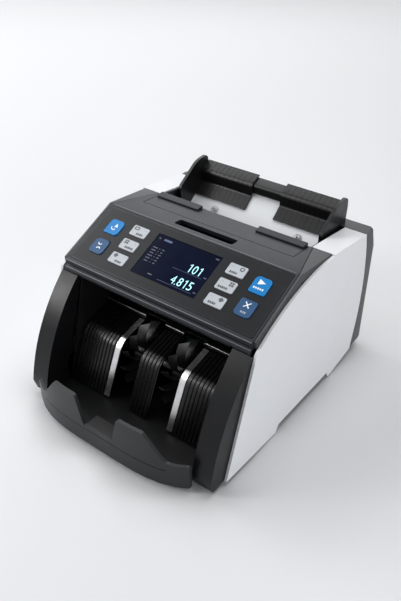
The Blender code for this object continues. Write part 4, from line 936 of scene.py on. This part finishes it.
@dataclass
class Screen:
    """Display glass with plain numbers, two rules and a short list of bars.

    Places are across and up from the screen's middle. A list column has its name, place, width, step in
    width and number of rows after which the steps repeat. A tag has its name, place, size and finish.
    """

    bench: Bench
    slope: Slope
    middle_s: float = 0.0453
    glass_edge: float = 0.0003
    recess: float = 0.0004
    mark_depth: float = 0.00005
    bar_round: float = 0.3
    dot_round: float = 0.2
    one_round: float = 0.15
    digit_height: float = 0.0103
    digit_width: float = 0.0052
    digit_pitch: float = 0.0064
    line_width: float = 0.00115
    font_scale: float = 1.4
    one_share: float = 0.62
    flag_size: Pair = (2.1, 0.85)
    flag_drop: float = 1.08
    flag_turn: float = 33.0
    numbers: tuple[tuple[str, str, float, float], ...] = (
        ("upper_number", "101", 0.0327, -0.0026),
        ("lower_number", "4.815", 0.0330, -0.0217),
    )
    rules: tuple[tuple[str, float, float], ...] = (("upper", -0.0041, -0.0017), ("lower", -0.0237, -0.0084))
    rule_right: float = 0.0358
    rule_height: float = 0.0004
    rule_tag: Pair = (0.0389, 0.0022)
    rule_tag_size: Pair = (0.0036, 0.0013)
    rows: int = 6
    first_row: float = 0.0098
    row_pitch: float = 0.0037
    row_height: float = 0.0012
    columns: tuple[tuple[str, float, float, float, int], ...] = (
        ("name", -0.0352, 0.0066, 0.0008, 3),
        ("count", -0.0290, 0.0011, 0.0, 1),
        ("sum", -0.0243, 0.0034, 0.0006, 2),
    )
    tags: tuple[tuple[str, Pair, Pair, Finish], ...] = (
        ("mode_tag", (-0.0264, 0.0223), (0.0110, 0.0024), TAG_BLUE),
        ("mode_tick", (-0.0376, 0.0222), (0.0022, 0.0018), LIST_BLUE),
        ("foot_tag", (-0.0196, -0.0217), (0.0056, 0.0014), LIST_BLUE),
        ("corner_tag", (0.0380, 0.0236), (0.0046, 0.0016), LIST_BLUE),
    )

    def build(self) -> None:
        """Dress the glass and draw what it shows."""
        self.bench.dress("display_window", SCREEN_NAVY, self.glass_edge)
        for name, digits, right, foot in self.numbers:
            self.number(name, digits, right, foot)
        for label, s, left in self.rules:
            middle = (left + self.rule_right) / 2
            self.bar(f"{label}_rule", (middle, s), (self.rule_right - left, self.rule_height), LINE_BLUE)
            x, rise = self.rule_tag
            self.bar(f"{label}_rule_tag", (x, s + rise), self.rule_tag_size, LIST_BLUE)
        for row in range(self.rows):
            s = self.first_row - row * self.row_pitch
            for label, x, width, step, repeat in self.columns:
                size = (width - step * (row % repeat), self.row_height)
                self.bar(f"list_{label}_{row}", (x, s), size, LIST_BLUE)
        for name, place, size, finish in self.tags:
            self.bar(name, place, size, finish)

    def lay(self, name: str, shape: Shape, x: float, s: float, finish: Finish) -> None:
        """Lay a raised mark on the glass.

        Args:
            name: Name of the piece.
            shape: The mark; it is freed.
            x: Place across the screen.
            s: Place up from the screen's middle.
            finish: Its colour.
        """
        self.slope.seat(shape, x, self.middle_s + s, SKIN - self.recess)
        self.bench.piece(name, shape, finish, UPPER)

    def bar(self, name: str, place: Pair, size: Pair, finish: Finish) -> None:
        """Thin round-ended mark on the glass.

        Args:
            name: Name of the piece.
            place: Its middle.
            size: Its length and height.
            finish: Its colour.
        """
        width, height = size
        shape = plate(width, height, (height * self.bar_round,) * 4, 3)
        thicken(shape, self.mark_depth)
        self.lay(name, shape, *place, finish)

    def number(self, name: str, digits: str, right: float, foot: float) -> None:
        """Plain number in cells of one width, set to the right.

        Args:
            name: Name of the piece.
            digits: Figures to show.
            right: Right end across the screen.
            foot: Foot of the figures, from the screen's middle.
        """
        x = right - self.digit_width
        for i, sign in enumerate(reversed(digits)):
            if sign == ".":
                x += self.digit_pitch - 2 * self.line_width
                shape = self.dot()
            else:
                shape = self.one() if sign == "1" else self.figure(sign)
            self.lay(f"{name}_{i}", shape, x, foot, DIGIT_CYAN)
            x -= self.digit_pitch

    def dot(self) -> Shape:
        """Decimal point.

        Returns:
            The raised point, its lower left corner at the origin.
        """
        line = self.line_width
        shape = plate(line, line, (line * self.dot_round,) * 4, 2)
        shift(shape, line / 2, line / 2, 0)
        thicken(shape, self.mark_depth)
        return shape

    def one(self) -> Shape:
        """Figure one: an upright with a short flag.

        Returns:
            The raised figure, its cell's lower left corner at the origin.
        """
        line = self.line_width
        middle = self.digit_width * self.one_share
        shape = plate(line, self.digit_height, (line * self.one_round,) * 4, 2)
        shift(shape, middle, self.digit_height / 2, 0)
        flag = bmesh.ops.create_grid(shape, x_segments=1, y_segments=1, size=0.5)["verts"]
        long, thick = self.flag_size
        bmesh.ops.scale(shape, vec=(line * long, line * thick, 1), verts=flag)
        turn = Matrix.Rotation(math.radians(self.flag_turn), 3, "Z")
        bmesh.ops.rotate(shape, cent=(0, 0, 0), matrix=turn, verts=flag)
        place = (middle - line, self.digit_height - line * self.flag_drop, SKIN / 4)
        bmesh.ops.translate(shape, vec=place, verts=flag)
        thicken(shape, self.mark_depth)
        return shape

    def figure(self, sign: str) -> Shape:
        """Any other figure, from the built-in font, fitted to its cell.

        Args:
            sign: The figure.

        Returns:
            The raised figure, its cell's lower left corner at the origin.
        """
        text = bpy.data.curves.new("figure", "FONT")
        text.body = sign
        text.size = self.digit_height * self.font_scale
        text.extrude = self.mark_depth / 2
        holder = bpy.data.objects.new("figure", text)
        bpy.context.scene.collection.objects.link(holder)
        bpy.context.view_layer.update()
        mesh = bpy.data.meshes.new_from_object(holder.evaluated_get(bpy.context.evaluated_depsgraph_get()))
        bpy.data.objects.remove(holder)
        shape = bmesh.new()
        shape.from_mesh(mesh)
        bpy.data.meshes.remove(mesh)
        bmesh.ops.remove_doubles(shape, verts=shape.verts, dist=WELD)
        bmesh.ops.recalc_face_normals(shape, faces=shape.faces)
        across = [vert.co.x for vert in shape.verts]
        height = [vert.co.y for vert in shape.verts]
        wide, tall = max(across) - min(across), max(height) - min(height)
        shift(shape, -min(across), -min(height), self.mark_depth / 2)
        bmesh.ops.scale(shape, vec=(self.digit_width / wide, self.digit_height / tall, 1), verts=shape.verts)
        return shape


@dataclass(frozen=True)
class Mark:
    """Flat mark on a key: how it is drawn, its place outwards and up from the key's middle, and its sizes."""

    label: str
    draw: Callable[..., Shape]
    place: Pair
    sizes: tuple
    finish: Finish


DOT = Mark("dot", plate, (-0.0064, 0.0036), (0.0024, 0.0015, (0.0004,) * 4, 3), MARK_PALE)
DASHES: dict[int, Mark] = {
    level: Mark("dashes", dash_marks, (-0.0022, -0.0034), (count, 0.0023, 0.0018, 0.0028), MARK_DARK)
    for level, count in ((-1, 4), (0, 5), (1, 4))}
SIGN_PLACE: Pair = (0.0052, 0.0032)
CROSS = Mark("sign", cross_mark, SIGN_PLACE, (0.0052, 0.0024), MARK_DARK)
SQUARES = Mark("sign", square_mark, SIGN_PLACE, (0.0023, 0.0029), MARK_DARK)
CARD = Mark("sign", frame_mark, SIGN_PLACE, (0.0064, 0.0044, 0.0012), MARK_DARK)
RING = Mark("sign", ring_mark, SIGN_PLACE, (0.0027, 0.0014), MARK_DARK)
LIGHT_SIGNS: dict[int, dict[int, Mark]] = {
    -1: {-1: CROSS, 0: SQUARES, 1: CARD},
    1: {-1: CROSS, 0: SQUARES, 1: RING},
}
BLUE_MARKS: dict[int, dict[int, tuple[Mark, Mark]]] = {
    -1: {
        -1: (Mark("sign", arc_mark, (0.0009, 0.0044), (0.0029, 0.0011, 190), MARK_WHITE),
             Mark("bow", arc_mark, (-0.0009, -0.0040), (0.0029, 0.0011, 20), MARK_WHITE)),
        1: (Mark("sign", triangle_mark, (-0.0014, 0.0029), (0.0046, 0.0052, 10), MARK_WHITE),
            Mark("bow", arc_mark, (0.0002, -0.0004), (0.0036, 0.0010, 175), MARK_WHITE)),
    },
    1: {
        -1: (Mark("sign", cross_mark, (0, 0.0038), (0.0088, 0.0011, 45), MARK_WHITE),
             Mark("dashes", dash_marks, (0.0003, -0.0050), (3, 0.0022, 0.0014, 0.0023), MARK_PALE)),
        1: (Mark("sign", triangle_mark, (-0.0002, 0.0036), (0.0066, 0.0080, -90), MARK_WHITE),
            Mark("dashes", dash_marks, (-0.0006, -0.0038), (5, 0.0025, 0.0017, 0.0023), MARK_WHITE)),
    },
}


@dataclass
class Keypad:
    """Ten keys with dished caps and plain marks."""

    bench: Bench
    slope: Slope
    light_x: float = 0.0648
    light_size: Pair = (0.0216, 0.0136)
    light_s: float = 0.0447
    light_pitch: float = 0.0199
    blue_x: float = 0.0972
    blue_size: Pair = (0.0190, 0.0198)
    blue_s: float = 0.0444
    blue_pitch: float = 0.0285
    below: float = 0.0036
    rise: float = 0.0012
    small_corner: float = 0.0018
    big_corner: float = 0.0045
    cap_edge: float = 0.00045
    cap_corner: float = 40.0
    dish: float = 0.00022
    rim: float = 0.0009
    mark_depth: float = 0.00005

    def build(self) -> None:
        """Make the keys of both hands."""
        for side, hand in SIDES:
            for row, level in (("lower", -1), ("middle", 0), ("upper", 1)):
                name = f"{hand}_{row}_key"
                place = (side * self.light_x, self.light_s + level * self.light_pitch)
                self.cap(name, place, self.light_size, (self.small_corner,) * 4, KEY_LIGHT)
                self.marks(name, place, side, (DASHES[level], DOT, LIGHT_SIGNS[side][level]))
            for row, level in (("lower", -1), ("upper", 1)):
                name = f"{hand}_blue_{row}_key"
                place = (side * self.blue_x, self.blue_s + level * self.blue_pitch / 2)
                finish = KEY_BRIGHT if level > 0 else KEY_MUTED
                self.cap(name, place, self.blue_size, self.blue_radii(side, level), finish)
                self.marks(name, place, side, BLUE_MARKS[side][level])

    def blue_radii(self, side: int, level: int) -> tuple[float, ...]:
        """Corner radii of a blue key.

        Args:
            side: -1 on the left and 1 on the right.
            level: -1 or 1 for the lower and upper key.

        Returns:
            The radii from the lower left, anticlockwise.
        """
        small, big = self.small_corner, self.big_corner
        if side < 0:
            return (big, big, big, big) if level < 0 else (small, big, big, big)
        return (big, big, small, small) if level < 0 else (small, small, big, big)

    def cap(self, name: str, place: Pair, size: Pair, radii: tuple[float, ...], finish: Finish) -> None:
        """Key cap with a soft edge and a shallow dish.

        Args:
            name: Name of the key's node.
            place: Middle of the key, across and up the panel.
            size: Width and height.
            radii: Corner radii.
            finish: Its colour.
        """
        shape = plate(*size, radii)
        top = thicken(shape, self.below + self.rise)
        ring = bmesh.ops.inset_region(shape, faces=top, thickness=self.rim, use_even_offset=True)["faces"]
        inner = [face for face in top if face.is_valid and face not in ring]
        bmesh.ops.inset_region(shape, faces=inner, thickness=self.rim, depth=-self.dish, use_even_offset=True)
        bmesh.ops.recalc_face_normals(shape, faces=shape.faces)
        self.slope.seat(shape, *place, -self.below)
        self.bench.piece(f"{name}_cap", shape, finish, name, (name,), self.cap_edge, FINE, self.cap_corner)

    def marks(self, key: str, place: Pair, side: int, marks: tuple[Mark, ...]) -> None:
        """Set flat marks on a key's face.

        Args:
            key: Name of the key and of its body.
            place: Middle of the key, across and up the panel.
            side: -1 on the left and 1 on the right.
            marks: What the key shows.
        """
        for mark in marks:
            shape = mark.draw(*mark.sizes)
            thicken(shape, self.mark_depth)
            x = place[0] + side * mark.place[0]
            self.slope.seat(shape, x, place[1] + mark.place[1], self.rise - self.dish + SKIN)
            self.bench.piece(f"{key}_{mark.label}", shape, mark.finish, key)


@dataclass
class Hopper:
    """Feed plate with its screws, the rear bar and the two sliding guides."""

    bench: Bench
    plate_edge: float = 0.0005
    plate_half: float = 0.0994
    plate_trim_z: float = 0.1630
    plate_lean: float = 0.27
    bar_edge: float = 0.0008
    tilt: float = math.radians(40.3)
    screw_place: Point = (0.0588, 0.1082, 0.1547)
    shank: float = 0.0015
    shank_depth: float = 0.0105
    washer: float = 0.0050
    washer_foot: float = 0.0003
    washer_top: float = 0.0013
    washer_edge: float = 0.0003
    head: float = 0.0032
    head_top: float = 0.0023
    head_edge: Pair = (0.0004, 0.0001)
    head_shares: Pair = (0.9, 0.5)
    recess_shade_shares: Pair = (1.1, 0.28)
    recess_shade_turn: float = 45.0
    screw_corner: float = 40.0
    guide_line: tuple[Pair, ...] = ((0.1155, 0.1639), (0.1297, 0.1760), (0.1297, 0.1914), (0.1458, 0.1980))
    knee_round: float = 0.0019
    nose_round: float = 0.0046
    round_steps: int = 8
    inner_x: float = 0.0200
    cheek_inner: float = 0.0955
    cheek_outer: float = 0.0995
    wall: float = 0.0018
    rib_pitch: float = 0.0068
    rib_gap: float = 0.0008
    rib_rise: float = 0.00022
    cheek_line: tuple[Pair, ...] = ((0.0878, 0.1381), (0.0878, 0.1820), (0.1215, 0.2047), (0.1438, 0.2070),
                                    (0.1438, 0.1952), (0.1315, 0.1905), (0.1315, 0.1751))
    cheek_rounds: tuple[float, ...] = (0.0006, 0.0040, 0.0060, 0.0080, 0.0008, 0.0010, 0.0006)
    cheek_edge: float = 0.0013
    cheek_steps: int = 4
    hole_shade_place: Pair = (0.1372, 0.1995)
    hole_shade_size: Pair = (0.0009, 0.0002)
    end_line: tuple[Pair, ...] = ((0.1320, 0.1700), (0.1320, 0.1900), (0.1456, 0.1954), (0.1440, 0.1700))
    end_gap: float = 0.0003

    def build(self) -> None:
        """Dress the hopper."""
        node = "feed_plate"
        shape = self.bench.copy(node)
        for side, _ in SIDES:
            trim(shape, (side * self.plate_half, 0, self.plate_trim_z), (side, 0, self.plate_lean))
        self.bench.dress(node, FEED_WHITE, self.plate_edge, shape=shape)
        self.bench.dress("hopper_bar", GREY_BAR, self.bar_edge, FINE, WIDE_CORNER)
        for side, hand in SIDES:
            self.sleeve(side, hand)
            self.cheek(side, hand)
            self.bar_end(side, hand)
            self.screw(side, hand)

    def sleeve(self, side: int, hand: str) -> None:
        """Ribbed sleeve that hooks over the bar.

        Args:
            side: -1 on the left and 1 on the right.
            hand: Name of the side.
        """
        shape = bmesh.new()
        verts = [shape.verts.new((side * self.inner_x, y, z)) for y, z in self.guide_line]
        edges = [shape.edges.new(pair) for pair in zip(verts, verts[1:])]
        width = self.cheek_inner + self.wall / 2 - self.inner_x
        drawn = bmesh.ops.extrude_edge_only(shape, edges=edges)["geom"]
        bmesh.ops.translate(shape, vec=(side * width, 0, 0), verts=only(drawn, bmesh.types.BMVert))
        for corner, size in ((1, self.knee_round), (2, self.nose_round)):
            y, z = self.guide_line[corner]
            crease = [edge for edge in shape.edges
                      if all(abs(vert.co.y - y) + abs(vert.co.z - z) < WELD for vert in edge.verts)]
            bmesh.ops.bevel(shape, geom=crease, offset=size, affect="EDGES", segments=self.round_steps,
                            profile=0.5, material=-1)
        bmesh.ops.recalc_face_normals(shape, faces=shape.faces)
        if sum(face.normal.z for face in shape.faces) < 0:
            bmesh.ops.reverse_faces(shape, faces=shape.faces)
        self.ribs(shape, side, width)
        bmesh.ops.solidify(shape, geom=shape.faces[:], thickness=self.wall)
        bmesh.ops.recalc_face_normals(shape, faces=shape.faces)
        name = f"{hand}_note_guide"
        self.bench.piece(f"{name}_sleeve", shape, BLACK_HOPPER, f"{hand}_guide", (name,), corner=WIDE_CORNER)

    def ribs(self, shape: Shape, side: int, width: float) -> None:
        """Raise the ribs of a sleeve.

        Args:
            shape: Sleeve's skin.
            side: -1 on the left and 1 on the right.
            width: Width of the sleeve.
        """
        count = int(width / self.rib_pitch)
        for i in range(count):
            for edge in (i * self.rib_pitch + self.rib_gap / 2, (i + 1) * self.rib_pitch - self.rib_gap / 2):
                place = (side * (self.inner_x + edge), 0, 0)
                bmesh.ops.bisect_plane(shape, geom=whole(shape), dist=WELD, plane_co=place,
                                       plane_no=(1, 0, 0))
        reach = self.rib_pitch / 2 - self.rib_gap
        for i in range(count):
            middle = side * (self.inner_x + (i + 0.5) * self.rib_pitch)
            rib = [face for face in shape.faces if abs(face.calc_center_median().x - middle) < reach]
            bmesh.ops.inset_region(shape, faces=rib, thickness=self.rib_gap / 8, depth=self.rib_rise,
                                   use_even_offset=True)

    def cheek(self, side: int, hand: str) -> None:
        """Cheek at a guide's outer end, with rounded edges and a small dark ring of painted shade where its
        hole is.

        Args:
            side: -1 on the left and 1 on the right.
            hand: Name of the side.
        """
        inner = side * self.cheek_inner
        shape = outline(inner, self.cheek_line)
        for place, size in zip(self.cheek_line, self.cheek_rounds):
            round_corner(shape, (inner, *place), size)
        thicken(shape, side * (self.cheek_outer - self.cheek_inner), (1, 0, 0))
        name = f"{hand}_note_guide"
        body = f"{hand}_guide"
        self.bench.piece(f"{name}_cheek", shape, BLACK_HOPPER, body, (), self.cheek_edge, self.cheek_steps,
                         WIDE_CORNER)
        # Painted shade: the hole is not cut; a flat dark ring on the outer face stands for its shade.
        hole = ring_mark(*self.hole_shade_size)
        thicken(hole, SKIN)
        swing(hole, 90 * side, "Y")
        shift(hole, side * self.cheek_outer, *self.hole_shade_place)
        self.bench.piece(f"{name}_hole", hole, BLACK_INNER, body)

    def bar_end(self, side: int, hand: str) -> None:
        """End of the bar that a cheek's notch runs over.

        Args:
            side: -1 on the left and 1 on the right.
            hand: Name of the side.
        """
        shape = outline(side * (self.cheek_inner - self.end_gap), self.end_line)
        thicken(shape, side * (self.cheek_outer - self.cheek_inner), (1, 0, 0))
        self.bench.piece(f"hopper_bar_{hand}_end", shape, BLACK_HOPPER, CHASSIS, (), self.bar_edge, FINE,
                         WIDE_CORNER)

    def screw(self, side: int, hand: str) -> None:
        """Screw with a washer, square to the feed plate, with a flat black cross of painted shade where its
        cross recess is.

        Args:
            side: -1 on the left and 1 on the right.
            hand: Name of the side.
        """
        node = f"feed_screw_{hand}"
        x, y, z = self.screw_place
        seat = Matrix.Translation((side * x, y, z)) @ Matrix.Rotation(self.tilt, 4, "X")
        shape = spun(self.screw_profile(), ROUND)
        bmesh.ops.transform(shape, matrix=seat, verts=shape.verts)
        self.bench.piece(f"{node}_head", shape, SCREW_STEEL, CHASSIS, (node,), corner=self.screw_corner)
        # Painted shade: the recess is not cut; a flat black cross on the head stands for the shade in it.
        long, thick = self.recess_shade_shares
        cross = cross_mark(self.head * long, self.head * thick, self.recess_shade_turn)
        thicken(cross, SKIN)
        bmesh.ops.transform(cross, matrix=seat @ Matrix.Translation((0, 0, self.head_top)), verts=cross.verts)
        self.bench.piece(f"{node}_recess", cross, BLACK_INNER, CHASSIS)

    def screw_profile(self) -> tuple[Pair, ...]:
        """Half section of a screw and its washer.

        Returns:
            Pairs of radius and height, from the shank's end to the head's top.
        """
        rim = self.washer - self.washer_edge
        side, shoulder = (self.head_top - drop for drop in self.head_edge)
        wide, narrow = (self.head * share for share in self.head_shares)
        return ((0, -self.shank_depth), (self.shank, -self.shank_depth), (self.shank, self.washer_foot),
                (rim, self.washer_foot), (self.washer, self.washer_foot + self.washer_edge),
                (self.washer, self.washer_top - self.washer_edge), (rim, self.washer_top),
                (self.head, self.washer_top), (self.head, side), (wide, shoulder), (narrow, self.head_top),
                (0, self.head_top))


@dataclass
class Drive:
    """Lower guide with painted highlight rods on its front edge, rollers, shafts, motor and belt."""

    bench: Bench
    guide_edge: float = 0.0004
    turned_edge: float = 0.0003
    # Painted highlight: thin steel rods, half sunk along the lower guide's front edge, stand for the bright
    # line of light on that edge.
    highlight_rods: tuple[tuple[str, float, float], ...] = (
        ("left", -0.1010, -0.0420), ("middle", -0.0130, 0.0130), ("right", 0.0420, 0.1010))
    highlight_rod_place: Pair = (-0.0441, 0.0889)
    highlight_rod_radius: float = 0.0004
    rubber_nodes: tuple[str, ...] = ("transport_roller", "feed_roller", "pinch_roller", "drive_belt")
    steel_nodes: tuple[str, ...] = ("stacker_shaft", "hinge_rod", "motor_pulley", "drive_motor")

    def build(self) -> None:
        """Dress the drive."""
        self.bench.dress("lower_guide", BLACK_INNER, self.guide_edge)
        # Steel rods of painted highlight along the lower guide's front edge.
        for label, left, right in self.highlight_rods:
            shape = rod(left, right, self.highlight_rod_place, self.highlight_rod_radius)
            self.bench.piece(f"lower_guide_{label}_edge", shape, SHAFT_STEEL, CHASSIS)
        for node in self.rubber_nodes:
            self.bench.dress(node, RUBBER, self.turned_edge)
        for node in self.steel_nodes:
            self.bench.dress(node, SHAFT_STEEL, self.turned_edge)


@dataclass
class Electronics:
    """Boards, supply, mains inlet and switch."""

    bench: Bench
    board_edge: float = 0.0002
    case_edge: float = 0.0005
    inlet_edge: float = 0.0004

    def build(self) -> None:
        """Dress the electronics."""
        self.bench.dress("main_board", BOARD_GREEN, self.board_edge)
        self.bench.dress("power_supply", SUPPLY_CASE, self.case_edge)
        self.bench.dress("power_inlet", BLACK_SHELL, self.inlet_edge)
        self.bench.dress("power_switch", BLACK_SHELL, self.inlet_edge)


@dataclass
class Studio:
    """Camera, floor and soft light. A lamp has its name, place, side in metres and power in watts."""

    camera_place: Point = (0.3918, -0.5101, 0.5515)
    azimuth: float = 37.4
    elevation: float = 34.9
    lens: float = 41.5
    sensor: float = 36.0
    target: Point = (0, 0, 0.1)
    lamps: tuple[tuple[str, Point, float, float], ...] = (
        ("left_softbox", (-2.20, 0.0, 1.75), 1.8, 41.0),
        ("rear_softbox", (-0.90, 1.40, 1.05), 1.1, 4.5),
        ("crest_softbox", (-0.80, 0.75, 1.45), 0.35, 2.0),
        ("overhead_softbox", (0.20, 0.45, 1.90), 1.1, 18.0),
        ("front_left_softbox", (-0.75, -0.95, 1.15), 0.4, 3.0),
        ("low_left_softbox", (-1.15, -1.05, 0.75), 0.4, 8.0),
        ("low_side_softbox", (-1.60, -0.60, 0.40), 0.4, 1.5),
        ("right_fill", (1.50, -0.30, 0.42), 0.9, 11.0),
    )
    floor_size: float = 12.0
    floor_cells: int = 8
    floor_colour: Point = (0.70, 0.71, 0.725)
    floor_roughness: float = 0.35
    floor_specular: float = 0.08
    glow_colour: Point = (0.97, 0.98, 1.0)
    near: float = 0.5
    far: float = 2.6
    far_glow: float = 0.34
    air_colour: Point = (0.95, 0.97, 1.0)
    air_strength: float = 0.10
    seen_colour: Point = (0.82, 0.83, 0.845)

    def build(self) -> None:
        """Set up the scene."""
        scene = bpy.context.scene
        scene.view_settings.view_transform = "Standard"
        data = bpy.data.cameras.new("camera")
        data.lens = self.lens
        data.sensor_width = self.sensor
        camera = bpy.data.objects.new("camera", data)
        camera.location = self.camera_place
        camera.rotation_euler = (math.radians(90 - self.elevation), 0, math.radians(self.azimuth))
        scene.collection.objects.link(camera)
        scene.camera = camera
        self.floor()
        self.world()
        for name, place, size, power in self.lamps:
            self.lamp(name, place, size, power)

    def lamp(self, name: str, place: Point, size: float, power: float) -> None:
        """Square soft lamp that looks at the machine.

        Args:
            name: Name of the lamp.
            place: Where it hangs.
            size: Side of the square.
            power: Watts.
        """
        data = bpy.data.lights.new(name, "AREA")
        data.size = size
        data.energy = power
        lamp = bpy.data.objects.new(name, data)
        lamp.location = place
        aim = Vector(self.target) - Vector(place)
        lamp.rotation_euler = aim.to_track_quat("-Z", "Y").to_euler()
        bpy.context.scene.collection.objects.link(lamp)

    def floor(self) -> None:
        """Plain pale floor that keeps the shadow and glows a little far away."""
        shape = bmesh.new()
        bmesh.ops.create_grid(shape, x_segments=self.floor_cells, y_segments=self.floor_cells,
                              size=self.floor_size / 2)
        mesh = bpy.data.meshes.new("floor")
        shape.to_mesh(mesh)
        shape.free()
        floor = bpy.data.objects.new("floor", mesh)
        bpy.context.scene.collection.objects.link(floor)
        material = bpy.data.materials.new("pale_floor")
        material.use_nodes = True
        tree = material.node_tree
        shader = tree.nodes["Principled BSDF"].inputs
        shader["Base Color"].default_value = (*self.floor_colour, 1)
        shader["Roughness"].default_value = self.floor_roughness
        shader["Specular IOR Level"].default_value = self.floor_specular
        shader["Emission Color"].default_value = (*self.glow_colour, 1)
        reach = tree.nodes.new("ShaderNodeVectorMath")
        reach.operation = "LENGTH"
        tree.links.new(tree.nodes.new("ShaderNodeTexCoord").outputs["Object"], reach.inputs[0])
        fade = tree.nodes.new("ShaderNodeMapRange")
        fade.interpolation_type = "SMOOTHSTEP"
        fade.inputs["From Min"].default_value = self.near
        fade.inputs["From Max"].default_value = self.far
        fade.inputs["To Max"].default_value = self.far_glow
        tree.links.new(reach.outputs["Value"], fade.inputs["Value"])
        tree.links.new(fade.outputs["Result"], shader["Emission Strength"])
        mesh.materials.append(material)

    def world(self) -> None:
        """Pale surroundings, brighter where the camera or a reflection shows them."""
        world = bpy.data.worlds.new("surroundings")
        world.use_nodes = True
        tree = world.node_tree
        air = tree.nodes["Background"]
        air.inputs["Color"].default_value = (*self.air_colour, 1)
        air.inputs["Strength"].default_value = self.air_strength
        seen = tree.nodes.new("ShaderNodeBackground")
        seen.inputs["Color"].default_value = (*self.seen_colour, 1)
        rays = tree.nodes.new("ShaderNodeLightPath").outputs
        shown = rays["Is Camera Ray"]
        for kind in ("Is Glossy Ray", "Is Transmission Ray"):
            either = tree.nodes.new("ShaderNodeMath")
            either.operation = "MAXIMUM"
            tree.links.new(shown, either.inputs[0])
            tree.links.new(rays[kind], either.inputs[1])
            shown = either.outputs[0]
        mix = tree.nodes.new("ShaderNodeMixShader")
        tree.links.new(shown, mix.inputs[0])
        tree.links.new(air.outputs[0], mix.inputs[1])
        tree.links.new(seen.outputs[0], mix.inputs[2])
        tree.links.new(mix.outputs[0], tree.nodes["World Output"].inputs["Surface"])
        bpy.context.scene.world = world


def main() -> None:
    """Build every sub-assembly in order."""
    logging.basicConfig(level=logging.INFO, format="%(name)s: %(message)s")
    bench = Bench(frame["record"])
    slope = Slope()
    Studio().build()
    Shells(bench).build()
    Pocket(bench).build()
    UpperUnit(bench, slope).build()
    Screen(bench, slope).build()
    Keypad(bench, slope).build()
    Hopper(bench).build()
    Drive(bench).build()
    Electronics(bench).build()


if __name__ == "__main__":
    main()
